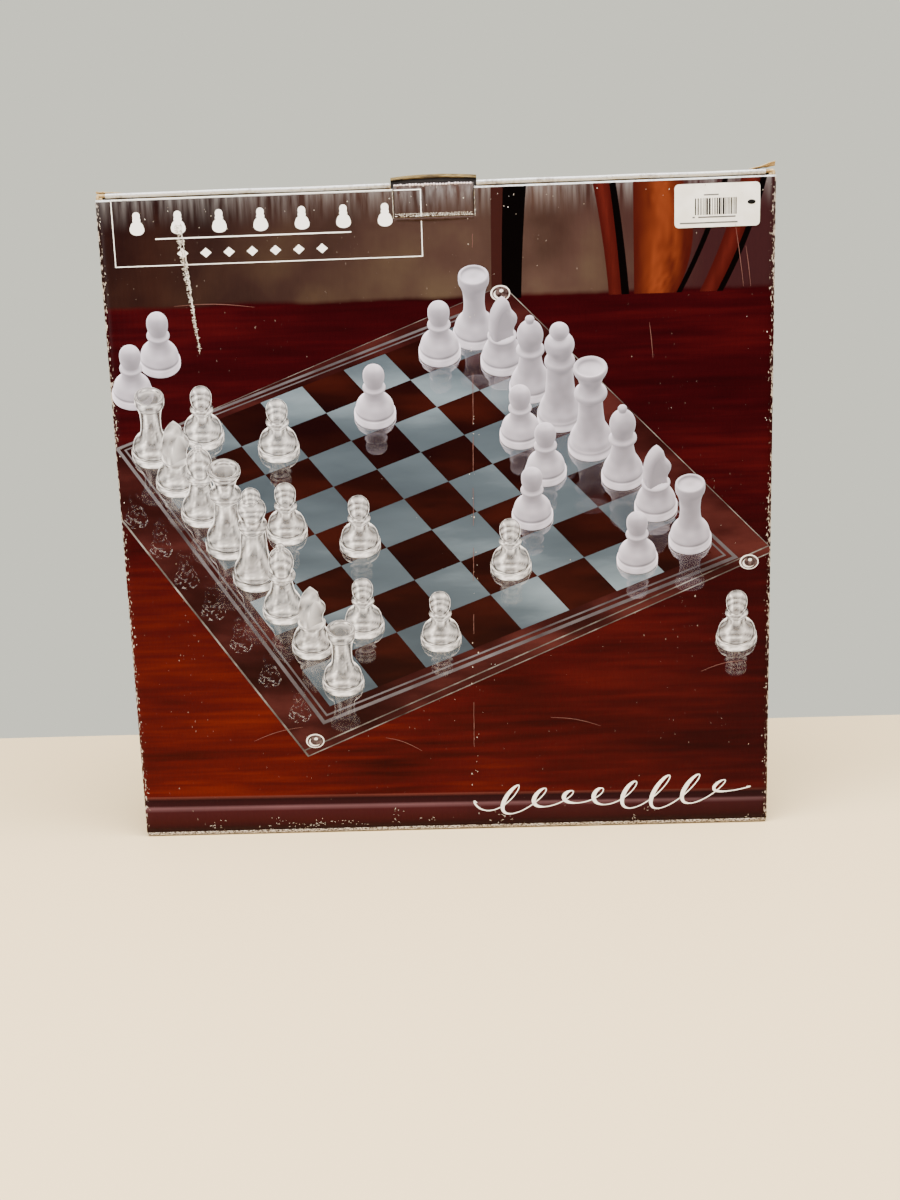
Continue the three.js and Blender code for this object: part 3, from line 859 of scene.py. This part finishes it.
def frosted_tone(normal, height, spot):
    """Milky glass: brightest at its foot and upper ledges, lilac grey below each ledge."""
    cloud = 0.05 * noise.noise(spot * 0.16)
    shade = 0.715 + 0.17 * normal.y + 0.10 * (1 - normal.z) ** 2 + cloud
    shade += 0.18 * bump_at(height, 2.6, 4) - 0.15 * bump_at(height, 6.1, 0.9)
    shade += 0.05 * bump_at(height, 10, 4) * normal.z - 0.04 * normal.x
    return (*stored_tone(shade, 0.985, 0.972, 1.03), 1.0)


def clear_tone(normal, height, spot):
    """Clear glass: crisp white rims and streaks over the board seen through it."""
    wave = math.sin(9.0 * normal.y + 6.0 * normal.x ** 2 + 0.35 * height)
    grain = noise.noise(Vector((normal.x * 6, height * 0.7, spot.x * 0.2)))
    glint = 0.28 * max(0.0, 2.0 * wave - 0.5) + 0.7 * max(0.0, grain)
    glint += 0.75 * bump_at(normal.x, -0.45, 0.10) + 0.40 * bump_at(normal.x, 0.30, 0.09)
    glint += 0.95 * bump_at(normal.z, 0.06, 0.15)
    glint += 0.55 * bump_at(height, 3.4, 2.6) * max(0.0, normal.z)
    dark = 0.7 * bump_at(normal.z, 0.38, 0.08) + 0.6 * bump_at(height, 6.2, 0.7)
    dark += 0.35 * max(0.0, -2.0 * wave - 0.9)
    glint, dark = min(1.0, glint * (1 - 0.7 * min(1.0, dark))), min(1.0, dark)
    shade = 0.80 + 0.20 * glint - 0.50 * dark * (1 - glint)
    alpha = 0.52 + 0.48 * glint + 0.1 * dark
    return (*stored_tone(shade, 0.985, 0.983, 0.995), min(1.0, alpha))


def ghost_tone(normal, height, spot):
    """A broken, faint image of a clear piece in the edge of the board."""
    red, green, blue, alpha = clear_tone(normal, height, spot)
    return red, green, blue, alpha * max(0.0, 0.25 + 1.6 * noise.noise(spot * 0.3))


def tone_ink(name, roughness):
    """Ink that takes its colour from the tones stored on the shape."""
    material, tree, shader = start_material(
        name, roughness=roughness, specular_ior_level=SATIN_SPECULAR)
    tones = add_node(tree, "ShaderNodeAttribute", {"attribute_name": "tone"})
    tree.links.new(tones.outputs["Color"], shader.inputs["Base Color"])
    tree.links.new(tones.outputs["Alpha"], shader.inputs["Alpha"])
    return material


frosted_ink = tone_ink("ink_frosted_piece", 0.34)
clear_ink = tone_ink("ink_clear_piece", 0.3)
reflection_ink = tone_ink("ink_board_reflection", 0.3)
reflections = bmesh.new()


def press_flat(kind, foot, tone_of, size, facing, lift, upright=1.0, fade=None):
    """A standing piece pressed flat on the lid with its foot's middle at the spot."""
    bm = turned_man(kind, 44, 4)
    view = Matrix.Rotation(-math.radians(90) + PRINT_TILT, 4, "X") @ Matrix.Rotation(facing, 4, "Z")
    heights = [vert.co.z for vert in bm.verts]
    bmesh.ops.transform(bm, verts=bm.verts, matrix=view)
    bm.normal_update()
    layer = bm.verts.layers.float_color.new("tone")
    for vert, height in zip(bm.verts, heights):
        red, green, blue, alpha = tone_of(vert.normal, height, vert.co)
        alpha *= 1.0 if fade is None else 0.45 * math.exp(-height / fade)
        vert[layer] = (red, green, blue, alpha if vert.normal.z > -0.05 else 0.0)
    if fade is not None:
        unseen = [vert for vert in bm.verts if vert[layer][3] < 0.008]
        bmesh.ops.delete(bm, geom=unseen, context="VERTS")
    flat = Matrix(((PRINT_SCALE * size, 0, 0, foot[0]), (0, 0, -0.0004, LID_FACE / MM - lift),
                   (0, PRINT_SCALE * size * upright, 0, foot[1]), (0, 0, 0, 1)))
    bmesh.ops.transform(bm, verts=bm.verts, matrix=Matrix.Scale(MM, 4) @ flat)
    for sign in (-1, 1):
        slice_at(bm, (sign * TRIM, 0, 0), (sign, 0, 0), clear=True)
    settle(bm)
    return bm


def add_reflection(bm):
    """Joins one piece's reflection to the rest of them."""
    spare = bpy.data.meshes.new("spare")
    bm.to_mesh(spare)
    bm.free()
    reflections.from_mesh(spare)


def print_man(name, kind, foot, paint, tone_of, size=1.0, facing=0.0, mirrored=True):
    """Prints a piece, and its faint reflection in the board below it."""
    lift = MAN_LIFT + MAN_SPREAD * (1 - foot[1] / BACK_ROW)
    if mirrored:
        add_reflection(press_flat(kind, foot, tone_of, size, facing, REFLECTION_LIFT,
                                  REFLECTION_SQUASH, REFLECTION_FADE))
    bm = press_flat(kind, foot, tone_of, size, facing, lift)
    bmesh.ops.recalc_face_normals(bm, faces=bm.faces)
    film = finish_piece(name, bm, [paint], smooth=False)
    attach(film, "lid")


def on_square(u, v):
    """A place on the printed board, counted in squares, in millimetres on the lid."""
    spot = on_grid(u / 8, v / 8) / MM
    return spot.x, spot.z


BACK_RANK = ["rook", "knight", "bishop", "king", "queen", "bishop", "knight", "rook"]
for index, kind in enumerate(BACK_RANK):
    print_man(f"printed_frosted_{kind}_{index}", kind, on_square(0.14, 0.5 + 1.01 * index),
              frosted_ink, frosted_tone, facing=FROSTED_TURN)
for index, kind in enumerate(["rook", "knight", "bishop", "queen", "king", "bishop", "knight",
                              "rook"]):
    print_man(f"printed_clear_{kind}_{index}", kind, on_square(7.72 - 0.03 * index,
              0.3 + 1.05 * index), clear_ink, clear_tone, facing=CLEAR_TURN)
FROSTED_PAWNS = [(1.05, 0.6), (3.2, 1.6), (1.1, 3.6), (1.3, 4.75), (2.2, 5.65), (1.25, 7.55),
                 (6.25, -2.25), (7.25, -1.6)]
CLEAR_PAWNS = [(6.55, 0.35), (5.4, 1.5), (6.45, 3.7), (5.4, 4.7), (6.45, 6.6), (5.4, 7.55),
               (3.3, 6.6), (0.95, 9.95)]
for index, square in enumerate(FROSTED_PAWNS):
    print_man(f"printed_frosted_pawn_{index}", "pawn", on_square(*square), frosted_ink,
              frosted_tone, mirrored=square[1] > 0)
for index, square in enumerate(CLEAR_PAWNS):
    print_man(f"printed_clear_pawn_{index}", "pawn", on_square(*square), clear_ink, clear_tone)

for index, kind in enumerate(["knight", "bishop", "queen", "king", "bishop", "knight", "rook"]):
    x, z = on_square(7.72 - 0.03 * index, 1.0 + 1.05 * index)
    add_reflection(press_flat(kind, (x - GHOST_ASIDE, z - GHOST_BELOW), ghost_tone, GHOST_SIZE,
                              CLEAR_TURN, GHOST_LIFT, GHOST_SQUASH, GHOST_FADE))
board_reflections = finish_piece("printed_board_reflections", reflections, [reflection_ink],
                                 smooth=False)
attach(board_reflections, "lid")

# Printed bumper feet: bright-rimmed clear domes at the board's corners.
bumper_white = ink("ink_bumper_white", "e4e0dd")
bumper_dark = ink("ink_bumper_dark", [(0.35, "1c0a0a"), (0.65, "5b4c4b")], 420)
BUMPER_WIDE, BUMPER_TALL = 5.6, 4.4
BUMPER_RINGS = [(0, 0, 1.0, 0), (0.02, -0.03, 0.86, 1), (-0.06, -0.14, 0.62, 0),
                (0.08, 0.02, 0.60, 1), (0.1, 0.3, 0.2, 0)]
for index, (x, z) in enumerate([(36, 319), (178, 161), (-83, 59)]):
    dot = bmesh.new()
    for order, (aside, rise, radius, tint) in enumerate(BUMPER_RINGS):
        made = bmesh.ops.create_circle(dot, cap_ends=True, segments=32, radius=radius)["verts"]
        set_out(dot, made, ((x + BUMPER_WIDE * aside) * MM, LID_FACE - (0.1 + 0.03 * order) * MM,
                            (z + BUMPER_TALL * rise) * MM),
                (BUMPER_WIDE * MM, BUMPER_TALL * MM, 1), UPRIGHT)
        made[0].link_faces[0].material_index = tint
    finish_ink(f"printed_bumper_{index}", dot, [bumper_white, bumper_dark])

# Printed chairs: red-brown slats with black gaps, out of focus behind the table.
slat_ink = tone_ink("ink_chair_slat", 0.3)
SLAT_EDGE = Vector((0.030, 0.003, 0.0025))
SLAT_CORE = Vector((0.135, 0.027, 0.008))
RAIL_CORE = Vector((0.058, 0.007, 0.005))
GAP_CORE = Vector((0.001, 0.0005, 0.0005))
POST_CORE = Vector((0.022, 0.006, 0.005))
SLAT_FOOT, SLAT_TOP, SLAT_BEND = 316, 376.6, 0.55


def leaning_strip(name, foot, bend, top, core, lift):
    """A printed slat in millimetres, its two edges given at the foot, the bend and the top."""
    bm = bmesh.new()
    layer = bm.verts.layers.float_color.new("tone")
    made = bmesh.ops.create_grid(bm, x_segments=14, y_segments=40, size=0.5)["verts"]
    for vert in made:
        climb, across = vert.co.y + 0.5, vert.co.x + 0.5
        edges = []
        for a, b, c in zip(foot, bend, top):
            curve = ((b - a) / SLAT_BEND - (c - a)) / (SLAT_BEND - 1)
            edges.append(a + (c - a - curve) * climb + curve * climb * climb)
        x = edges[0] + (edges[1] - edges[0]) * across
        streak = noise.noise(Vector((x * 0.32, climb * 1.5, 2)))
        streak += 0.5 * noise.noise(Vector((x * 1.1, climb * 6, 5)))
        warmth = max(0.0, bump_at(across, 0.5, 0.3) * (0.75 + 0.8 * streak))
        tint = SLAT_EDGE.lerp(core, min(1.0, warmth)) if core.x > 0.03 else core
        vert[layer] = (*tint, 1.0)
        vert.co = (x * MM, LID_FACE - lift * MM, (SLAT_FOOT + (SLAT_TOP - SLAT_FOOT) * climb) * MM)
    finish_ink(name, bm, [slat_ink])


leaning_strip("printed_chair_side", (31, 37), (31.5, 38), (32, 39), POST_CORE, 0.02)
leaning_strip("printed_chair_post", (36.8, 47.8), (37.6, 49.5), (38.8, 51.8), GAP_CORE, 0.025)
leaning_strip("printed_slat_left", (97.3, 104.4), (93.6, 101.6), (88.9, 98), RAIL_CORE, 0.02)
leaning_strip("printed_gap_left", (104.4, 108.8), (101.4, 105.4), (98, 101.6), GAP_CORE, 0.025)
leaning_strip("printed_slat_middle", (111.6, 135.4), (111.4, 144.6), (111.3, 139), SLAT_CORE, 0.02)
leaning_strip("printed_gap_middle", (135.2, 138.2), (151.2, 154.2), (161, 164), GAP_CORE, 0.025)
leaning_strip("printed_slat_right", (148.3, 158.2), (162.9, 173.6), (171, 182), RAIL_CORE, 0.02)
leaning_strip("printed_gap_right", (158, 161.4), (173.6, 177), (182, 185.4), GAP_CORE, 0.025)

# Printed panel in place of a name: a plain white frame with a rule, small pawns
# above it and lozenges below it. Its upper right corner runs over the lock tab.
white_ink = ink("ink_white", "fffdf8")
FRAME_LEFT, FRAME_RIGHT, FRAME_FOOT, FRAME_TOP = -182, -7, 340.5, 377.4
TAB_EDGE, TAB_SCORE = -SLOT_HALF / MM, SLOT_FOOT / MM


def ink_bar(bm, x_span, z_span, lift=INK_LIFT):
    """A printed rectangle, in millimetres on the lid's face."""
    made = bmesh.ops.create_grid(bm, x_segments=24, y_segments=2, size=0.5)["verts"]
    if z_span[1] - z_span[0] > x_span[1] - x_span[0]:
        bmesh.ops.rotate(bm, verts=made, cent=(0, 0, 0), matrix=Matrix.Rotation(math.pi / 2, 3, "Z"))
    for vert in made:
        vert.co = (between(x_span, vert.co.x) * MM, LID_FACE - lift * MM,
                   between(z_span, vert.co.y) * MM)


LINE = 0.52
frame_lines = bmesh.new()
ink_bar(frame_lines, (FRAME_LEFT, FRAME_RIGHT), (FRAME_FOOT, FRAME_FOOT + LINE))
ink_bar(frame_lines, (FRAME_LEFT, FRAME_LEFT + LINE), (FRAME_FOOT, FRAME_TOP))
ink_bar(frame_lines, (FRAME_LEFT, TAB_EDGE - 0.3), (FRAME_TOP - LINE, FRAME_TOP))
ink_bar(frame_lines, (FRAME_RIGHT - LINE, FRAME_RIGHT), (FRAME_FOOT, TAB_SCORE - 0.2))
ink_bar(frame_lines, (-158, -47), (355.0, 355.7))
finish_ink("printed_frame", frame_lines, [white_ink])
tab_lines = bmesh.new()
ink_bar(tab_lines, (TAB_EDGE + 0.5, FRAME_RIGHT), (FRAME_TOP - LINE, FRAME_TOP))
ink_bar(tab_lines, (FRAME_RIGHT - LINE, FRAME_RIGHT), (TAB_SCORE + 0.6, FRAME_TOP))
finish_ink("printed_frame_on_tab", tab_lines, [white_ink], "lock_tab")
for index in range(7):
    print_man(f"printed_pawn_icon_{index}", "pawn", (-168 + 23.4 * index, 360.2), white_ink,
              lambda normal, height, spot: (1, 1, 1, 1), size=0.34, mirrored=False)
lozenges = bmesh.new()
for index in range(7):
    lozenge = bmesh.ops.create_circle(lozenges, cap_ends=True, segments=4, radius=1)["verts"]
    set_out(lozenges, lozenge, ((-143 + 13.2 * index) * MM, LID_FACE - INK_LIFT * MM, 347 * MM),
            (3.2 * MM, 2.7 * MM, 1), UPRIGHT)
finish_ink("printed_lozenges", lozenges, [white_ink])

# Printed flourish along the foot of the lid: one looping pen stroke, thick on the
# way down and thin on the way up.
def pen_stroke(bm, path, widths, lift=INK_LIFT):
    """A flat ribbon in millimetres through the points, as wide as its widths say."""
    rails = []
    for i, (x, z) in enumerate(path):
        ahead_x, ahead_z = path[min(i + 1, len(path) - 1)]
        back_x, back_z = path[max(i - 1, 0)]
        along = Vector((ahead_x - back_x, ahead_z - back_z)).normalized()
        aside = Vector((-along.y, along.x)) * widths[i] / 2
        rails.append([bm.verts.new(((x + s * aside.x) * MM, LID_FACE - lift * MM,
                                    (z + s * aside.y) * MM)) for s in (1, -1)])
    for (a, b), (c, d) in zip(rails, rails[1:]):
        bm.faces.new((a, c, d, b))


LOOPS = 9
stroke, widths = [], []
for i in range(481):
    t = i / 480
    turn = math.tau * LOOPS * t
    tall = (7.4 + 3.4 * math.sin(math.tau * 1.5 * t + 1.2)) * min(1, 9 * t, 7 * (1 - t))
    stroke.append((14 + 164 * t - 6.0 * math.sin(turn) + 0.75 * tall * math.cos(turn),
                   17 + 6 * t + tall * math.cos(turn)))
    widths.append(0.6 + 1.9 * max(0, math.sin(turn)) * min(1, 8 * t, 8 * (1 - t)))
flourish = bmesh.new()
pen_stroke(flourish, stroke, widths)
finish_ink("printed_flourish", flourish, [white_ink])

# Price sticker: semi-gloss white paper with rounded corners, plain black bars,
# two grey rules and a small black spot. It carries no letters or numbers.
LABEL_LOW, LABEL_HIGH = (Vector(corner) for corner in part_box("barcode_label"))
sticker_paper, sticker_tree, sticker_shader = start_material(
    "semi_gloss_sticker_paper", roughness=0.42)
sticker_place = add_node(sticker_tree, "ShaderNodeTexCoord").outputs["Object"]
sticker_tone = streaks(120, 4, 1, sticker_tree, sticker_place)
sticker_tree.links.new(ramp(sticker_tone, [(0.35, "e9e4d8"), (0.65, "f7f4ec")], sticker_tree),
                       sticker_shader.inputs["Base Color"])
label = bmesh.new()
bmesh.ops.create_cube(label, size=1)
label_middle = (LABEL_LOW + LABEL_HIGH) / 2
STICKER_LIFT = 0.12 * MM
LABEL_INK_LIFT = 0.26
set_out(label, label.verts, (label_middle.x, LID_FACE - STICKER_LIFT, label_middle.z),
        (LABEL_HIGH.x - LABEL_LOW.x, 0.2 * MM, LABEL_HIGH.z - LABEL_LOW.z))
corners = [e for e in label.edges if abs((e.verts[0].co - e.verts[1].co).y) > 1e-5]
bmesh.ops.bevel(label, geom=corners, offset=2.4 * MM, segments=5, profile=0.5,
                affect="EDGES", material=-1)
for cut in range(1, 8):
    slice_at(label, (LABEL_LOW.x + cut * 6 * MM, 0, 0), (1, 0, 0))
settle(label)
sticker = finish_piece("price_sticker", label, [sticker_paper], smooth=False)
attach(sticker, "lid")
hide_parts("barcode_label")
black_ink = ink("ink_black", "141312")
rule_ink = ink("ink_grey_rule", "5b5957")
random.seed(5)
bars = bmesh.new()
bar_x = 145.6
while bar_x < 168.2:
    width = random.choice((0.35, 0.35, 0.7, 1.05))
    ink_bar(bars, (bar_x, bar_x + width), (357.4, 366.4), LABEL_INK_LIFT)
    bar_x += width + random.choice((0.4, 0.4, 0.75))
finish_ink("sticker_bars", bars, [black_ink])
rules = bmesh.new()
for x_span, z_span in (((150.5, 158.8), (367.8, 368.5)), ((144.2, 145.6), (355.8, 356.6)),
                       ((147.4, 168.2), (355.8, 356.6)), ((137.2, 169.4), (352.8, 353.6))):
    ink_bar(rules, x_span, z_span, LABEL_INK_LIFT)
finish_ink("sticker_rules", rules, [rule_ink])
spot = bmesh.new()
bmesh.ops.create_circle(spot, cap_ends=True, segments=20, radius=1)
set_out(spot, spot.verts, (177.0 * MM, LID_FACE - LABEL_INK_LIFT * MM, 363.6 * MM),
        (2.3 * MM, 1.3 * MM, 1), UPRIGHT)
finish_ink("sticker_spot", spot, [black_ink])

# Damage to the print. A torn scratch at the upper left has lifted the paper to its
# white core, a hard vertical fold has cracked the varnish, and chips, short scuffs
# and hairline scratches are scattered over the face, most of them near the edges.
torn_paper = ink("torn_paper", [(0.35, "8f8270"), (0.5, "c9c2b6"), (0.7, "e6e2da")], 600)
hair_ink = ink("hairline_scratch", "6b4a44")
random.seed(11)
tear = bmesh.new()
TEAR_STEPS = 60
TEAR_LIFT, HAIR_LIFT = 0.66, 0.6
for shift, depth, wide in ((0.0, 72, 0.8), (-2.6, 42, 0.5)):
    tear_path, tear_widths = [], []
    for i in range(TEAR_STEPS + 1):
        t = i / TEAR_STEPS
        tear_path.append((-143.0 + shift * (1 - t) + 0.085 * depth * t
                          + random.uniform(-0.3, 0.3), 363 - depth * t))
        tear_widths.append(max(0.2, wide * math.sin(math.pi * min(1, 0.15 + t)) ** 0.6
                               * random.uniform(0.35, 1.25)))
    pen_stroke(tear, tear_path, tear_widths, TEAR_LIFT)
for _ in range(210):
    t = random.random() ** 1.2
    x = -145.4 + 8 * t + random.uniform(-1.9, 1.9) * (1 - 0.7 * t)
    z = 362.5 - 70 * t
    pen_stroke(tear, [(x, z), (x + random.uniform(0.4, 1.6), z + random.uniform(-0.2, 0.2))],
               [random.uniform(0.2, 0.45)] * 2, TEAR_LIFT + 0.01)
finish_ink("torn_scratch", tear, [torn_paper])

chips = bmesh.new()


def chip(x, z, size):
    """One irregular chip of missing print."""
    ring = []
    for corner in range(5):
        angle = math.tau * (corner + random.uniform(-0.3, 0.3)) / 5
        reach = size * random.uniform(0.45, 1.0)
        ring.append(chips.verts.new(((x + reach * math.cos(angle) * 0.7) * MM,
                                     LID_FACE - WEAR_LIFT * MM, (z + reach * math.sin(angle)) * MM)))
    chips.faces.new(ring)


for _ in range(24):
    cluster_x, cluster_z = random.uniform(-184, 184), 4.5 + abs(random.gauss(0, 3.4))
    for _ in range(random.randint(2, 7)):
        x, z = cluster_x + random.gauss(0, 3.2), max(3.6, cluster_z + random.gauss(0, 1.1))
        lean = random.choice((0, 0, math.pi / 2)) + random.gauss(0, 0.3)
        long = random.uniform(0.3, 1.3)
        pen_stroke(chips, [(x, z), (x + long * math.cos(lean), z + long * math.sin(lean))],
                   [random.uniform(0.1, 0.26)] * 2, WEAR_LIFT)
for _ in range(46):
    chip(random.uniform(-188, 188), 374 - abs(random.gauss(0, 9)), random.uniform(0.2, 0.6))
for _ in range(70):
    side = random.choice((-1, 1))
    chip(side * (189.4 - abs(random.gauss(0, 1.6))), random.uniform(5, 370),
         random.uniform(0.15, 0.6))
for _ in range(50):
    chip(random.uniform(-180, 180), random.uniform(20, 360), random.uniform(0.12, 0.42))
for _ in range(34):
    z = random.uniform(20, 360)
    chip(12 + 0.026 * z + random.gauss(0, 1.6), z, random.uniform(0.2, 0.7))
finish_ink("print_chips", chips, [torn_paper])

hairs = bmesh.new()
for _ in range(16):
    z = random.uniform(30, 345)
    length = random.uniform(6, 26)
    pen_stroke(hairs, [(12 + 0.026 * (z + length * k / 6) + random.uniform(-0.15, 0.15),
                        z + length * k / 6) for k in range(7)], [0.22] * 7, HAIR_LIFT)
for x, z, dx, dz in ((168, 352, 5, -34), (174, 340, 3, -22), (-150, 318, 46, -2), (60, 70, 30, -6),
                     (-40, 60, 22, -9), (120, 300, 2, -20), (-120, 60, 30, 8), (150, 96, 26, 6)):
    pen_stroke(hairs, [(x + dx * k / 8, z + dz * k / 8 + 1.5 * math.sin(k / 8 * math.pi))
                       for k in range(9)], [0.12 + 0.18 * math.sin(k / 8 * math.pi)
                                            for k in range(9)], HAIR_LIFT)
finish_ink("hairline_scratches", hairs, [hair_ink])

# Lock tab wear: a score speckled in three rows with a swollen lip under it, a row of
# crushed flute ends along the tab's top edge, and pale cut lines down its sides.
score = bmesh.new()
run_profile(score, [(-31.05, 359.7), (-31.75, 360.4), (-31.85, 361.0), (-31.45, 361.6),
                    (-30.9, 361.6)], TAB_LOW.x + 0.5 * MM, TAB_HIGH.x - 0.5 * MM, 30)
for vert in score.verts:
    bow = max(0.1, 1 - (vert.co.x / TAB_HIGH.x) ** 2)
    vert.co.y = LID_FACE + (vert.co.y - LID_FACE) * (0.35 + 0.65 * bow)
bmesh.ops.recalc_face_normals(score, faces=score.faces)
score_lip = finish_piece("tab_score_lip", score, [litho])
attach(score_lip, "lid")
random.seed(3)
dots = bmesh.new()
DOT_PITCH = FLUTE / 2
for i in range(int((TAB_HIGH.x - TAB_LOW.x) / DOT_PITCH)):
    ball = bmesh.ops.create_icosphere(dots, subdivisions=2, radius=1)["verts"]
    size = random.uniform(0.45, 0.85)
    set_out(dots, ball, (TAB_LOW.x + (i + 0.5) * DOT_PITCH, LID_FACE + 2.5 * MM,
                         TAB_HIGH.z - (0.5 + random.uniform(0, 0.3)) * MM),
            (0.9 * MM, 0.75 * MM, size * MM))
crushed_paper = start_material("crushed_litho_edge", base_color=hex_colour("d9c8c8"),
                               roughness=0.5)[0]
crushed = finish_piece("tab_crushed_flutes", dots, [crushed_paper])
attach(crushed, "lock_tab")
specks = bmesh.new()
for z, reach, tall in ((362.4, 1.0, 0.42), (363.1, 0.55, 0.38), (363.75, 0.45, 0.34)):
    x = TAB_LOW.x / MM + 0.6
    while x < TAB_HIGH.x / MM - 1.2:
        step = reach * random.uniform(0.7, 1.3)
        rise = z + random.uniform(-0.12, 0.12)
        if random.random() < 0.86:
            ink_bar(specks, (x, x + step), (rise, rise + tall), 0.05)
        x += step + random.uniform(0.25, 0.5)
finish_ink("tab_score_specks", specks, [torn_paper], "lock_tab")

cut_lines = bmesh.new()
for side in (-1, 1):
    pen_stroke(cut_lines, [(side * (SLOT_HALF / MM + 0.15 + 0.1 * math.sin(k * 1.7)),
                            TAB_SCORE + (378 - TAB_SCORE) * k / 16) for k in range(17)],
               [random.uniform(0.08, 0.3) for _ in range(17)], LINE_LIFT)
finish_ink("tab_cut_lines", cut_lines, [torn_paper])

# Torn liner at both upper corners: the brown kraft has pulled away from the roll
# and stands up in short curls.
def liner_curl(name, x_span, rise, reach):
    """A ragged strip of kraft liner that curls up and forward from the top wall."""
    bm = bmesh.new()
    made = bmesh.ops.create_grid(bm, x_segments=16, y_segments=8, size=0.5)["verts"]
    for vert in made:
        along, across = vert.co.x + 0.5, vert.co.y + 0.5
        x = x_span[0] + (x_span[1] - x_span[0]) * along
        curl = across * reach * (0.5 + 0.5 * math.sin(math.pi * min(1, along * 1.1)))
        lift = rise * along ** 1.4 * (0.4 + 0.6 * across)
        vert.co = (x * MM, (-27.5 - curl + 0.8 * across * across) * MM,
                   (381.1 + lift + 0.5 * noise.noise(Vector((x * 0.4, across * 3, 0)))) * MM)
    piece = finish_piece(name, bm, [kraft])
    ply = piece.modifiers.new("ply", "SOLIDIFY")
    ply.thickness = 0.35 * MM
    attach(piece, "carton")


liner_curl("liner_curl_right", (176, 190.5), 4.4, 4.2)
liner_curl("liner_curl_left", (-173, -190.5), 1.6, 3.2)
